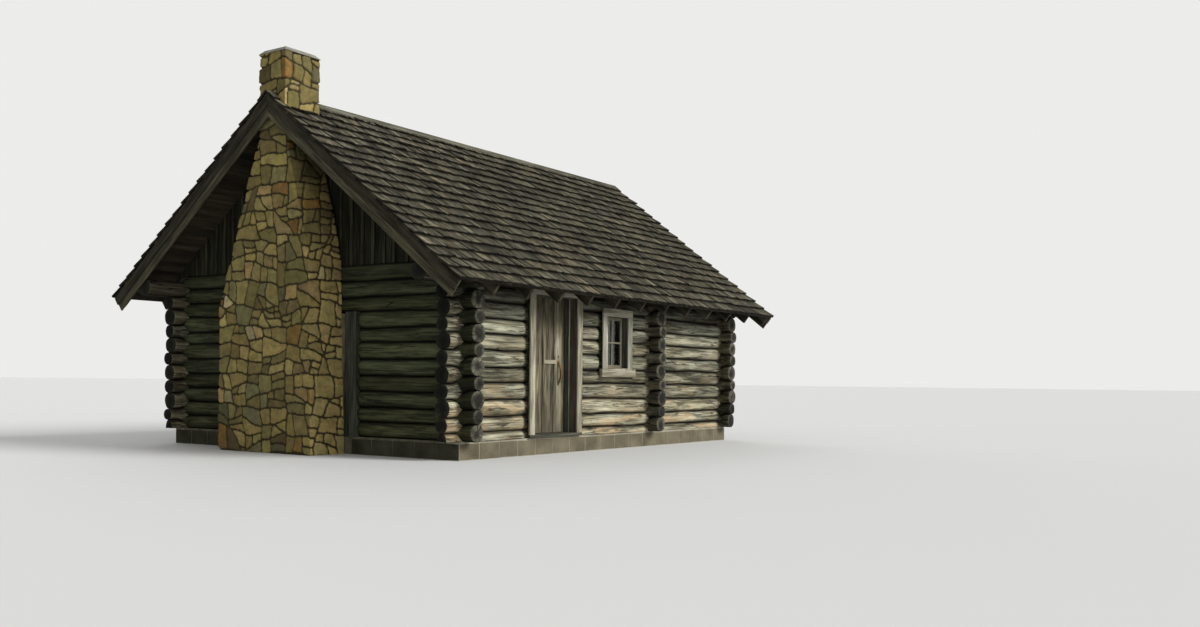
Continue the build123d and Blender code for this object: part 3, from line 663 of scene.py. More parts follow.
eave_logs = dict(axis=0, rows=eave_rows, base=wall_base, reach_of=eave_reach, size_of=eave_size)
cross_logs = dict(axis=1, base=wall_base + half_course, reach_of=cross_reach, size_of=cross_size, spread=0.2)
log_wall("front_wall", 1, offset=-wall_y, gaps_of=front_gaps, materials=[silver_log, shaded_end],
         spread=0.25, **eave_logs)
log_wall("back_wall", 2, offset=wall_y, gaps_of=window_gaps, materials=[plain_log, shaded_end],
         spread=0.2, **eave_logs)
log_wall("chimney_gable", 3, offset=-wall_x, rows=cross_rows, materials=[shaded_log, silver_end],
         gaps_of=lambda row: [hearth_gap] if row < hearth_rows else [], **cross_logs)
log_wall("far_gable", 4, offset=wall_x, rows=cross_rows, materials=[plain_log, silver_end],
         gaps_of=lambda row: [], **cross_logs)
log_wall("partition", 5, offset=partition_x, rows=partition_rows, materials=[plain_log, silver_end],
         gaps_of=lambda row: [passage_gap] if row < partition_rows - 1 else [], **cross_logs)


# Chimney
# Random rubble in ochre, olive and grey-green stone, raked brown mortar, quoins that turn the corners, a wide
# hearth that steps in over two shoulders to a slim stack. Behind the stones is the CAD mass, drawn in.

chimney_face, chimney_back = -4.22, -3.625
chimney_depth = chimney_back - chimney_face
near_edge = np.array([(0.0, hearth_near), (2.78, -0.73), (4.24, -0.30), (4.5, -0.255), (5.5, -0.255)])
far_edge = np.array([(0.0, hearth_far), (2.02, hearth_far), (4.24, 0.30), (4.5, 0.255), (5.5, 0.255)])
stack_top, back_foot = 5.5, 2.55
stone_step = 0.0133
joint_half, joint_slope, joint_level, stone_rise = 0.004, 0.012, -0.021, 0.023
stone_size, smallest_stone, largest_stone = 0.062, 0.013, 0.13


def cut_apart(polygon, place, normal):
    """The two parts of a convex polygon on either side of a line."""
    level = (polygon - place) @ normal
    parts = ([], [])
    for a, b, p, q in zip(level, np.roll(level, -1), polygon, np.roll(polygon, -1, axis=0)):
        if a >= 0:
            parts[0].append(p)
        if a <= 0:
            parts[1].append(p)
        if a * b < 0:
            crossing = p + (q - p) * a / (a - b)
            parts[0].append(crossing)
            parts[1].append(crossing)
    return [np.array(part) for part in parts]


def polygon_area(polygon):
    """Half the sum of the cross products of neighbouring corners."""
    ahead = np.roll(polygon, -1, axis=0)
    return abs((polygon[:, 0] * ahead[:, 1] - ahead[:, 0] * polygon[:, 1]).sum()) / 2


def rubble_stones(rng, low, high, top):
    """A wall face broken into convex stones: each piece is cut across its longer way, at a slant, again and
    again until it is down to a size of its own. Heights count 1.35 times, so stones are wider than high."""
    pending = [np.array([(low, 0), (high, 0), (high, top), (low, top)], float)]
    stones = []
    while pending:
        piece = pending.pop()
        area = polygon_area(piece)
        if area < np.clip(rng.lognormal(np.log(stone_size), 0.55), smallest_stone, largest_stone):
            stones.append(piece)
            continue
        middle = piece.mean(0)
        wide, tall = np.ptp(piece, axis=0) * (1, 1.35)
        best = 0
        for _ in range(6):
            slant = rng.normal(0, 0.25 if area < 1 else 0.06) + (0 if wide > tall else pi / 2)
            normal = np.array([cos(slant), sin(slant)])
            place = middle + normal * np.ptp(piece @ normal) * rng.uniform(-0.2, 0.2)
            parts = cut_apart(piece, place, normal)
            stout = min(polygon_area(part) / np.ptp(part, axis=0).max() ** 2 for part in parts)
            stout *= 0.6 if min(len(part) for part in parts) == 3 else 1
            if stout > best:
                best, chosen = stout, parts
            if best > 0.42:
                break
        pending.extend(chosen)
    return stones


stone_tones = np.array([(0.245, 0.192, 0.068), (0.205, 0.166, 0.060), (0.170, 0.146, 0.058),
                        (0.280, 0.222, 0.085), (0.138, 0.130, 0.060), (0.235, 0.140, 0.042),
                        (0.262, 0.192, 0.082), (0.135, 0.105, 0.046), (0.340, 0.295, 0.155)])
tone_shares = np.array([0.25, 0.22, 0.16, 0.13, 0.06, 0.035, 0.06, 0.06, 0.014])
tone_shares = tone_shares / tone_shares.sum()
mortar_tone, lit_tone = (0.20, 0.17, 0.06, 0.0), np.array([0.60, 0.45, 0.175])


def rubble(s, z, stones, rng):
    """Height and colour of rubble at points (s, z), bent a little by long sines. Inside a stone the distance
    to its border is the softened least distance to its sides. The height climbs steeply from the raked joint
    to a nearly flat face that has a lift and a tilt of its own, and chips off towards the border."""
    bent_s = s + 0.022 * np.sin(5.1 * z + 2.2 * s) + 0.010 * np.sin(15 * z + 1.3 + 6 * s)
    bent_z = z + 0.026 * np.sin(3.9 * s + 1.1 * z) + 0.011 * np.sin(14 * s + 0.4 + 7 * z)
    bent_s, bent_z = bent_s + 0.003 * np.sin(47 * z), bent_z + 0.003 * np.sin(51 * s)
    sharpness = 95.0
    height = np.full(len(s), joint_level)
    colour = np.tile(np.array(mortar_tone), (len(s), 1))
    for stone in stones:
        lift, tilt = rng.uniform(-0.005, 0.007), rng.uniform(-0.05, 0.05, 2)
        tone = stone_tones[rng.choice(len(stone_tones), p=tone_shares)]
        tone = tone * rng.uniform(0.58, 1.2) * rng.uniform(0.96, 1.04, 3)
        pillow = rng.uniform(0.002, 0.006)
        low, high = stone.min(0), stone.max(0)
        near = np.flatnonzero((bent_s > low[0]) & (bent_s < high[0]) & (bent_z > low[1]) & (bent_z < high[1]))
        if not len(near):
            continue
        spots = np.stack([bent_s[near], bent_z[near]], -1)
        sides = np.roll(stone, -1, axis=0) - stone
        lengths = np.linalg.norm(sides, axis=1)
        stone, sides, lengths = stone[lengths > 1e-6], sides[lengths > 1e-6], lengths[lengths > 1e-6]
        inward = np.stack([-sides[:, 1], sides[:, 0]], -1) / lengths[:, None]
        if (stone.mean(0) - stone[0]) @ inward[0] < 0:
            inward = -inward
        apart = ((spots[:, None] - stone[None]) * inward[None]).sum(-1)
        border = -np.log(np.exp(-sharpness * np.clip(apart, -0.05, 0.5)).sum(1)) / sharpness
        inside = apart.min(1) > 0
        near, border, spots = near[inside], border[inside], spots[inside]
        chips = np.sin(83 * s[near] + 31 * z[near]) + np.sin(71 * z[near] - 29 * s[near])
        rise = smooth((border + 0.0018 * chips - joint_half) / joint_slope)
        slant = np.clip((spots - stone.mean(0)) @ tilt, -0.008, 0.008)
        height[near] = joint_level + rise * (stone_rise + lift + pillow * smooth(border / 0.05) + slant)
        colour[near, :3] = tone
        colour[near, 3] = rise
    return height, colour


def stone_sheet(s, x, y, z, out, turned, flip):
    """A face of the chimney as a grid: each point moves out its face's way by the rubble's height, and on
    the sheet's edges also the way of the face round the corner. The two side faces get a painted warm glow
    low down, as if lit."""
    flat_s, flat_z = s.ravel(), z.ravel()
    height, colour = rubble(flat_s, flat_z, broken_face, np.random.default_rng(9))
    roughen = np.sin(61 * flat_s + 23 * flat_z) * np.sin(47 * flat_z - 19 * flat_s)
    height = height + 0.0016 * roughen * colour[:, 3]
    if out[1]:
        # Painted light: the side faces are blended towards the lit tone low down.
        painted_glow = 0.3 * (1 - smooth((flat_z[:, None] - 2.2) / 1.2))
        colour[:, :3] = colour[:, :3] * (1 - painted_glow) + lit_tone * painted_glow
    directions = np.zeros((*s.shape, 3))
    directions[...] = (*out, 0)
    for where, axis, way in turned:
        directions[where, axis] = way
    points = np.stack([x, y, z], -1) + directions * height.reshape(*s.shape, 1)
    rows, columns = s.shape
    i = np.arange(rows - 1)[:, None] * columns
    j = np.arange(columns - 1)[None, :]
    quads = np.stack([i + j, i + columns + j, i + columns + j + 1, i + j + 1], -1).reshape(-1, 4)
    return points.reshape(-1, 3), quads[:, ::-1] if flip else quads, colour


face_low, face_high, face_top = -1.5, 2.7, 5.6
broken_face = rubble_stones(np.random.default_rng(42), face_low, face_high, face_top)
rows_z = np.linspace(0, stack_top, int(stack_top / stone_step) + 1)[:, None]
near_y = np.interp(rows_z, near_edge[:, 0], near_edge[:, 1])
far_y = np.interp(rows_z, far_edge[:, 0], far_edge[:, 1])
face_s = np.linspace(hearth_near, hearth_far, int((hearth_far - hearth_near) / stone_step) + 1)[None, :]
depth_s = np.linspace(0, chimney_depth, int(chimney_depth / stone_step) + 1)[None, :]
face_y = np.clip(face_s, near_y, far_y)
at_near, at_far = face_y <= near_y + 1e-6, face_y >= far_y - 1e-6
sheets = [stone_sheet(face_y, np.full_like(face_y, chimney_face), face_y, rows_z + 0 * face_y, (-1, 0),
                      [(at_near, 1, -1), (at_far, 1, 1)], False)]
upper = rows_z[:, 0] > back_foot
first_column, last_column = (np.arange(depth_s.size) == k for k in (0, depth_s.size - 1))
for edge, side in ((near_y, -1), (far_y, 1)):
    y = edge + 0 * depth_s
    corners = [(first_column & (rows_z >= 0), 0, -1), (last_column & upper[:, None], 0, 1)]
    sheets.append(stone_sheet(edge + side * depth_s, chimney_face + depth_s + 0 * y, y, rows_z + 0 * y,
                              (0, side), corners, side < 0))
near_y, far_y, back_z, back_y = near_y[upper], far_y[upper], rows_z[upper], face_y[upper]
at_near, at_far = back_y <= near_y + 1e-6, back_y >= far_y - 1e-6
back_s = np.where(at_near, back_y - chimney_depth, 2 * far_y + chimney_depth - back_y)
sheets.append(stone_sheet(back_s, np.full_like(back_y, chimney_back), back_y, back_z + 0 * back_y, (1, 0),
                          [(at_near, 1, -1), (at_far, 1, 1)], True))


def plain_skin(points, faces):
    """A skin whose grain is simply its place."""
    values = np.column_stack([points, points, np.full(len(points), 0.5), np.ones(len(points))])
    return points, faces, values, np.zeros(len(faces), int)


def rubble_material():
    """Stone in the tone of its point, with grit and darker veins. Mortar shows where its alpha is low."""
    material, tree, shader = surface_material("rubble_stone", 0.9)
    tone = add(tree, "ShaderNodeAttribute", attribute_name="colour").outputs
    place = object_place(tree)
    shade, height = grit(place, 55.0, 9.0)
    veined = noise(stretched(place, (6.0, 6.0, 14.0)), 1.0, 6.0, 0.65, 0.6)
    grain = fed("ShaderNodeCombineColor", {0: remap(shade, 0.3, 0.7, 0.62, 1.35),
                                           1: remap(shade, 0.3, 0.7, 0.64, 1.32),
                                           2: remap(shade, 0.3, 0.7, 0.68, 1.28)})
    colour = blended(1.0, tone["Color"], grain, "MULTIPLY")
    colour = blended(remap(veined, 0.50, 0.70, 0.0, 0.55), colour, (0.085, 0.072, 0.028))
    mortar = blended(shade, (0.022, 0.018, 0.009), (0.066, 0.054, 0.027))
    colour = blended(remap(tone["Alpha"], 0.35, 0.9), mortar, colour)
    dressed(shader, colour, plus(height, veined), 0.008)
    return material


offsets = np.cumsum([0] + [len(points) for points, _, _ in sheets])
stone_points, stone_colours = (np.concatenate([sheet[k] for sheet in sheets]) for k in (0, 2))
stone_faces = np.concatenate([quads + offset for (_, quads, _), offset in zip(sheets, offsets)])
skins = [plain_skin(stone_points, stone_faces)]
placed(joined("chimney_stones", skins, [rubble_material()], True, stone_colours), "rubble_stone")


def drawn_in(name, node, by, material):
    """A copy of a flat-faced CAD node with every face moved in by the same length: each corner moves to where
    the shifted planes of its faces meet."""
    mesh = cad_nodes[node].data
    points = np.empty(len(mesh.vertices) * 3)
    mesh.vertices.foreach_get("co", points)
    points = points.reshape(-1, 3)
    faces = np.empty(len(mesh.loops), np.int32)
    mesh.loops.foreach_get("vertex_index", faces)
    _, first, index = np.unique(np.round(points, 5), axis=0, return_index=True, return_inverse=True)
    corners = points[first]
    faces = index.ravel()[faces.reshape(-1, 3)]
    a, b, c = (corners[faces[:, k]] for k in range(3))
    normals = np.cross(b - a, c - a)
    normals /= np.linalg.norm(normals, axis=1, keepdims=True)
    moved = corners.copy()
    for k in range(len(corners)):
        planes = np.unique(np.round(normals[(faces == k).any(1)], 3), axis=0)
        moved[k] += np.linalg.lstsq(planes, np.full(len(planes), -by), rcond=None)[0]
    return joined(name, [plain_skin(moved, np.column_stack([faces, faces[:, 2]]))], [material])


rubble_mortar = masonry_material("rubble_mortar", (0.06, 0.05, 0.032), (0.16, 0.135, 0.085), 60.0, 6.0, 0.006)
crown_mortar = masonry_material("crown_mortar", (0.13, 0.125, 0.10), (0.26, 0.25, 0.20), 60.0, 6.0, 0.006)
core_inset = 0.024
placed(drawn_in("chimney_core", "chimney", core_inset, rubble_mortar), "rubble_stone", "chimney")
finished(crown_mortar, "chimney_crown")


# Planks beside the chimney
# Two upright planks on each side of the stone, darkened with painted shade, spiked to the cut ends of the
# logs that the hearth interrupts.

# Dark tone: painted shade, as on the rest of the chimney gable.
dark_board = wood_material("dark_board", (0.085, 0.092, 0.070), (0.020, 0.022, 0.017), (0.040, 0.040, 0.025),
                           0.003, fineness=36.0, checks=0.6, knots=0.5, contrast=1.2)
post_width, post_depth, post_length = 0.102, 0.26, 1.712
post_places = (-0.886, -0.991, 1.126, 1.231)
rng = np.random.default_rng(5)
posts = []
for y in post_places:
    shape = board((-wall_x, y, wall_base), (0, 0, 1), (-1, 0, 0), post_length, post_width, post_depth, rng,
                  0.004, 0.002)
    posts.append(skin(shape, 300 + len(posts), rng.uniform(0.25, 0.6)))
placed(joined("chimney_planks", posts, [dark_board]), "grey_board", "chimney_posts")


# Roof timbers
# Sawn rafters that meet at a ridge board and rest on the top logs, with blocking between them at the eave
# and a board deck nailed over them, brown where the weather misses them and darkened further with painted
# shade under the roof.

def down_slope(place):
    """Turns Object coordinates to (along the slope, along the cabin, off the slope) on both slopes."""
    x, y, z = split(place)
    run = worked("ABSOLUTE", y)
    along = minus(times(run, cos(pitch)), times(z, sin(pitch)))
    off = plus(times(run, sin(pitch)), times(z, cos(pitch)))
    return combined(along, x, off)


# Dark tones: the brown of unweathered wood together with painted shade under the roof.
rafter_wood = cad_wood_material("rafter_wood", (0.080, 0.072, 0.053), (0.020, 0.0175, 0.0125),
                                (0.038, 0.031, 0.020), down_slope, 0.003, fineness=30.0, checks=0.5)
deck_wood = cad_wood_material("deck_wood", (0.075, 0.063, 0.044), (0.022, 0.018, 0.012),
                              (0.034, 0.027, 0.017), None, 0.003, fineness=30.0, checks=0.4)
finished(rafter_wood, "rafters")
finished(deck_wood, "roof_deck", "ridge_board", "eave_blocking")


# Gable boards
# Upright boards nailed to studs above the top log and cut to the slope, darkened with painted shade, with
# battens nailed over their joints that are painted paler, as if catching the light.

# Dark tone of the boards: painted shade.
gable_wood = wood_material("gable_wood", (0.040, 0.040, 0.026), (0.006, 0.0065, 0.0045),
                           (0.014, 0.0142, 0.008), fineness=34.0, checks=0.6, knots=0.6, contrast=1.2)
gable_foot = wall_base + cross_rows * course
gable_top = rafter_line + rafter_depth / cos(pitch)
deck_gap, board_gap, shortest_board, shortest_batten, narrowest_board = 0.004, 0.003, 0.09, 0.06, 0.06
board_x, board_width, board_thickness = 3.5375, 0.212, 0.0248
batten_x, batten_width, batten_thickness = 3.5595, 0.052, 0.019


def gable_rise(y):
    """Height from the foot of the gable boards to the underside of the deck."""
    return gable_top + (wall_y - np.abs(y)) * tan(pitch) - gable_foot


def gable(name, end, seed):
    """Boards out from the middle on both sides, each as wide as it falls and cut to the slope."""
    rng = np.random.default_rng(seed)
    out = (end, 0, 0)
    skins = []

    def batten(middle, height, **shape):
        return board((end * batten_x, middle, gable_foot), (0, 0, 1), out, height, batten_width,
                     batten_thickness, rng, 0.002, 0.001, **shape)

    for side in (-1, 1):
        lean = -side * tan(pitch) * np.cross(out, (0, 0, 1))[1]
        y = 0.0
        while gable_rise(y + narrowest_board) > 0:
            width = board_width * rng.uniform(0.85, 1.15)
            middle, joint = side * (y + width / 2), side * (y + width)
            if gable_rise(middle) - deck_gap < shortest_board:
                break
            # Painted shade on the two long edges of each board.
            shape = board((end * board_x, middle, gable_foot), (0, 0, 1), out, gable_rise(middle) - deck_gap,
                          width - board_gap, board_thickness, rng, 0.002, 0.0005, lean, 0.2)
            skins.append(skin(shape, seed * 100 + len(skins), np.clip(rng.normal(0.4, 0.25), 0, 1)))
            if gable_rise(joint) - deck_gap > shortest_batten:
                # Painted light: battens take a higher tint, paler as if catching the light; painted shade on
                # their edges.
                shape = batten(joint, gable_rise(joint) - deck_gap, lean=lean, clean=0.3)
                tint = np.clip(rng.normal(1.3, 0.3), 0.6, 1.6)
                skins.append(skin(shape, seed * 100 + 50 + len(skins), tint))
            y += width
    skins.append(skin(batten(0, gable_rise(batten_width / 2) - deck_gap), seed * 100 + 99, 0.5))
    placed(joined(name + "_cladding", skins, [gable_wood]), "weathered_board", name + "_boards")


gable("chimney_gable", -1, 21)
gable("far_gable", 1, 22)
finished(rafter_wood, "gable_studs")


# Roof covering
# Split wooden shakes in level courses, each a wedge nailed over the one below, greyed and mossed on the
# weather side. A doubled row at the eave, two boards over the ridge.

def slope_frame(side):
    """Up-slope and outward directions of a slope, side -1 in front and 1 behind."""
    return np.array([0, -side * cos(pitch), sin(pitch)]), np.array([0, side * sin(pitch), cos(pitch)])


def slope_point(side, x, run, rise):
    """The point a run down the slope from the wall and a rise off the rafters."""
    return np.array([x, side * (wall_y + run * cos(pitch) + rise * sin(pitch)),
                     rafter_line - run * sin(pitch) + rise * cos(pitch)])


shake_wood = wood_material("shake_wood", (0.165, 0.148, 0.106), (0.018, 0.0155, 0.010), (0.042, 0.040, 0.020),
                           0.010, 0.12, fineness=44.0, knots=0.2, contrast=1.5)
# The butts' dark tone: end grain, and painted shade on faces turned down the slope.
shake_butt = wood_material("shake_butt", (0.034, 0.029, 0.020), (0.007, 0.006, 0.004), (0.012, 0.010, 0.006),
                           fineness=44.0, checks=0.5, knots=0.0)
roof_edge, exposure, shake_courses = 4.34, 0.235, 18
narrowest_shake, widest_shake = 0.09, 0.22
hole_low, hole_high, hole_y = -4.226, -3.619, 0.261


def shake(side, x0, x1, run, length, foot, head, thickness, rng):
    """A split wedge from its butt up the slope: its top falls from foot to head above the rafters, and its
    section has four points on top that rise and sink a little, so no two lie alike. It gets painted shade at
    its edges and where the next course covers it."""
    along, up = slope_frame(side)
    a, c = (x1 - x0) / 2, 0.004
    stations = np.array([0.0, min(0.18, 0.5 * length), min(exposure, 0.7 * length), length])
    tops = foot + (head - foot) * stations / length
    across = np.array([-a, a, a, a - c, a / 3, -a / 3, c - a, -a])
    level = np.array([-1, -1, -0.25, 0, 0, 0, 0, -0.25])
    sections = np.empty((4, 8, 2))
    sections[..., 0] = across
    depth = np.array([thickness, thickness * 0.9, thickness * 0.8, 0.012])
    sections[..., 1] = tops[:, None] + level * np.where(level < -0.5, depth[:, None], 0.012)
    sections[:, 3:7, 1] += rng.uniform(-0.004, 0.004, (1, 4))
    sections[..., 1] += rng.uniform(-0.03, 0.03) * across
    slant = rng.uniform(-0.07, 0.07) * across
    # Painted shade: darker where the next course covers it and on the edges.
    shade = np.array([1.0, 0.95, 0.15, 0.0])[:, None] * np.where(level < -0.1, 0.2, 1.0)
    origin = slope_point(side, (x0 + x1) / 2, run, 0)
    return carried(origin, along, up, stations[:, None] + slant, sections, shade)


def shake_row(side, run, foot, head, thickness, length, rng, jitter):
    """A course of shakes of random widths from one gable to the other, cut round the chimney."""
    spans = []
    x = -roof_edge
    top_y, foot_y = (abs(slope_point(side, 0, run - down, foot)[1]) for down in (0.12, 0))
    while x < roof_edge - 0.001:
        width = rng.uniform(narrowest_shake, widest_shake)
        if roof_edge - x - width < 0.08:
            width = roof_edge - x
        gap = rng.uniform(0.005, 0.015)
        x0, x1, reach = x, x + width - (gap if x + width < roof_edge else 0), length
        x += width
        if top_y < hole_y + 0.14 and x1 > hole_low - 0.01 and x0 < hole_high + 0.01:
            if x0 < hole_low - 0.02:
                x1 = hole_low
            elif x1 > hole_high + 0.03:
                x0 = hole_high
            else:
                reach = min(length, (foot_y - hole_y) / cos(pitch))
                if top_y < hole_y or reach < 0.05:
                    continue
        spans.append((x0, x1, reach))
    made = []
    for x0, x1, reach in spans:
        shift = rng.uniform(-jitter, jitter) - jitter
        own_foot = foot + rng.uniform(-0.010, 0.002)
        shape = shake(side, x0, x1, run + shift, reach, own_foot, head, thickness, rng)
        made.append((shape, np.clip(rng.normal(0.5, 0.33), 0, 1)))
    return made


def shakes(name, side, seed):
    """A slope's courses. Each is given by its run, the heights of its foot and head off the rafters, its
    thickness, its length and how far its butts are out of line."""
    rng = np.random.default_rng(seed)
    rows = shake_row(side, 0.737, 0.232, 0.209, 0.022, 0.34, rng, 0.002)
    rows += shake_row(side, 0.742, 0.257, 0.211, 0.024, 0.34, rng, 0.003)
    for index in range(1, shake_courses):
        rows += shake_row(side, 0.754 - exposure * index, 0.257, 0.209, 0.028, 0.34, rng, 0.018)
    rows += shake_row(side, 0.748 - exposure * shake_courses, 0.252, 0.226, 0.026, 0.215, rng, 0.010)
    skins = [skin(shape, seed * 5000 + index, tint, 1) for index, (shape, tint) in enumerate(rows)]
    placed(joined(name + "_shakes", skins, [shake_wood, shake_butt]), "wood_shakes", name + "_shingles")


shakes("front", -1, 31)
shakes("back", 1, 32)

cap_wood = wood_material("cap_wood", (0.17, 0.158, 0.118), (0.035, 0.033, 0.023), (0.07, 0.068, 0.040),
                         fineness=36.0, checks=0.9, knots=0.6, contrast=1.3)
cap_run, cap_rise, cap_width, cap_thickness = -3.6255, 0.234, 0.15, 0.022
cap_spans = ((hole_high, -1.02), (-1.017, 1.82), (1.823, roof_edge), (-roof_edge, hole_low))
rng = np.random.default_rng(33)
caps = []
for side in (-1, 1):
    for x0, x1 in cap_spans:
        shape = board(slope_point(side, x0, cap_run, cap_rise), (1, 0, 0), slope_frame(side)[1], x1 - x0,
                      cap_width, cap_thickness, rng, 0.003, 0.0)
        caps.append(skin(shape, 400 + len(caps), rng.uniform(0.3, 0.8)))
placed(joined("ridge_boards", caps, [cap_wood]), "ridge_cap_wood", "ridge_cap")


# Barge boards
# Two boards up each rake, a deep one nailed to the fly rafter and a narrower, darker one over its upper
# half, mitred under the ridge.

barge_wood = wood_material("barge_wood", (0.068, 0.063, 0.043), (0.014, 0.0135, 0.009), (0.030, 0.028, 0.016),
                           fineness=34.0, checks=0.8, knots=0.6, contrast=1.2)
barge_foot, barge_top, barge_thickness = 0.728, 0.185, 0.022
barge_boards = ((-0.05, 4.282, (1.1, 1.4)), (0.065, 4.304, (0.1, 0.3)))
for name, end, seed in (("chimney_gable", -1, 41), ("far_gable", 1, 42)):
    rng = np.random.default_rng(seed)
    boards = []
    for side in (-1, 1):
        along, up = slope_frame(side)
        lean = tan(pitch) * np.sign(np.cross((end, 0, 0), along) @ up)
        for low, x, tints in barge_boards:
            middle, width = (low + barge_top) / 2, barge_top - low
            head = -(wall_y + middle * sin(pitch)) / cos(pitch) + 0.002
            start = slope_point(side, end * x, barge_foot, middle)
            shape = board(start, along, (end, 0, 0), barge_foot - head, width, barge_thickness, rng, 0.003,
                          0.0008, lean)
            boards.append(skin(shape, seed * 10 + len(boards), rng.uniform(*tints)))
    placed(joined(name + "_barge", boards, [barge_wood]), "grey_board", name + "_barge_boards")


# Front door
# Four upright planks on three ledges, silvered, with a peeled branch for a handle and a wooden latch. It
# hangs on strap hinges from pins in a plank-lined and cased opening.

def plank(low, high, along, face, rng, **shape):
    """A board between two corners, its length along one axis and its faces square to another."""
    low, high = np.array(low), np.array(high)
    start = (low + high) / 2
    start[along] = low[along]
    length, width, thickness = (high - low)[[along, 3 - along - face, face]]
    return board(start, axes[along], axes[face], length, width, thickness, rng, **shape)


def planks(limits, rng, seed, tint, **shape):
    """Skins of planks given by low corner, high corner, long axis and face axis. A tint that is a pair is
    drawn anew for each plank."""
    skins = []
    for index, limit in enumerate(limits):
        made = plank(*limit, rng, **shape)
        skins.append(skin(made, seed + index, rng.uniform(*tint) if isinstance(tint, tuple) else tint))
    return skins


casing_wood = wood_material("casing_wood", (0.41, 0.392, 0.325), (0.13, 0.12, 0.090), (0.22, 0.19, 0.13),
                            0.002, fineness=38.0, staining=0.35, checks=0.7, knots=0.6, contrast=1.2)
# Its dark tone is painted shade, as in the reveals of the openings.
lining_wood = wood_material("lining_wood", (0.12, 0.118, 0.095), (0.035, 0.034, 0.027), (0.06, 0.053, 0.034),
                            0.002, fineness=38.0, staining=0.4, checks=0.5, knots=0.4, contrast=1.2)
rng = np.random.default_rng(51)
gap_low, gap_high, gap_head = -2.12, -1.03, 2.273
clear_low, clear_high, clear_foot, clear_head = -2.08, -1.07, 0.285, 2.233
stop_low, stop_high, stop_head = -2.065, -1.085, 2.218
stop_face, stop_back, latch_stop_face = -2.74, -2.725, -2.80
casing_low, casing_high, casing_head, jamb_top = -2.20, -0.95, 2.353, 2.2315
casing_face, casing_back, lining_back, tread_face = -2.955, -2.93, -2.67, -2.96
bead_low, bead_high = (-1.088, -2.812, 0.287), (-1.071, -2.797, 2.231)
lining = [((gap_low, casing_back, clear_foot), (clear_low, lining_back, gap_head), 2, 0),
          ((clear_high, casing_back, clear_foot), (gap_high, lining_back, gap_head), 2, 0),
          ((clear_low, casing_back, clear_head), (clear_high, lining_back, gap_head), 0, 2),
          ((clear_low, stop_face, clear_foot), (stop_low, stop_back, clear_head), 2, 0),
          ((stop_high, latch_stop_face, clear_foot), (clear_high, stop_back, clear_head), 2, 0),
          ((stop_low, stop_face, stop_head), (stop_high, stop_back, clear_head), 0, 2)]
casing = [((casing_low, casing_face, clear_foot), (clear_low, casing_back, jamb_top), 2, 1),
          ((clear_high, casing_face, clear_foot), (casing_high, casing_back, jamb_top), 2, 1),
          ((casing_low, casing_face, clear_head), (casing_high, casing_back, casing_head), 0, 1),
          (bead_low, bead_high, 2, 0)]
treads = [((casing_low, tread_face, wall_base), (casing_high, casing_back, clear_foot), 0, 1),
          ((gap_low, casing_back, wall_base), (gap_high, lining_back, clear_foot), 0, 2)]
skins = planks(lining, rng, 500, (0.4, 0.6), wander=0.0)
placed(joined("door_lining", skins, [lining_wood]), "casing_wood", "door_frame")
skins = planks(casing, rng, 520, (0.45, 0.75), wander=0.0012)
placed(joined("door_casing", skins, [casing_wood]), "casing_wood")
skins = planks(treads, rng, 540, 0.55, wander=0.0)
placed(joined("door_step_board", skins, [lining_wood]), "casing_wood", "door_threshold")


def door_material():
    """Door planks: silvered wood with rain stain at the foot, a pale patch worn by hands beside the handle,
    the hole of the latch string and painted shade in the joints between the planks."""
    material, tree, shader = surface_material("door_wood")
    place = object_place(tree)
    colour, height, roughness = figure(attribute(tree, "grain", "Vector"), attribute(tree, "tint"),
                                       (0.225, 0.205, 0.146), (0.040, 0.035, 0.025), (0.09, 0.074, 0.045),
                                       34.0, 0.5, 1.0, 0.8, 1.4)
    x, _, z = split(place)
    edge = times(minus(noise(place, 9.0, 4.0), 0.5), 0.35)
    fibre = noise(stretched(place, (70.0, 30.0, 3.0)), 1.0, 4.0)

    def distance_from(middle, size):
        dx, dz = (worked("DIVIDE", minus(at, middle[k]), size[k]) for k, at in enumerate((x, z)))
        return worked("SQRT", plus(times(dx, dx), times(dz, dz)))

    worn_middle, worn_size = (-1.26, 1.52), (0.08, 0.2)
    string_middle, string_size = (-1.232, 1.385), (0.014, 0.022)
    apart = plus(distance_from(worn_middle, worn_size), times(edge, 2.5))
    worn = times(remap(apart, 0.5, 1.1, 1.0, 0.0), remap(fibre, 0.42, 0.6, 0.15, 0.85))
    colour = blended(worn, colour, (0.36, 0.335, 0.26))
    hole = remap(distance_from(string_middle, string_size), 0.8, 1.0, 1.0, 0.0)
    colour = blended(hole, colour, (0.008, 0.007, 0.006))
    colour = blended(remap(plus(z, edge), 0.3, 0.7, 0.5, 0.0), colour, (0.10, 0.09, 0.062))
    # Painted shade: near black along the plank edges, from the shade attribute.
    colour = blended(attribute(tree, "shade"), (0.010, 0.009, 0.007), colour)
    dressed(shader, colour, height, 0.002, roughness)
    return material


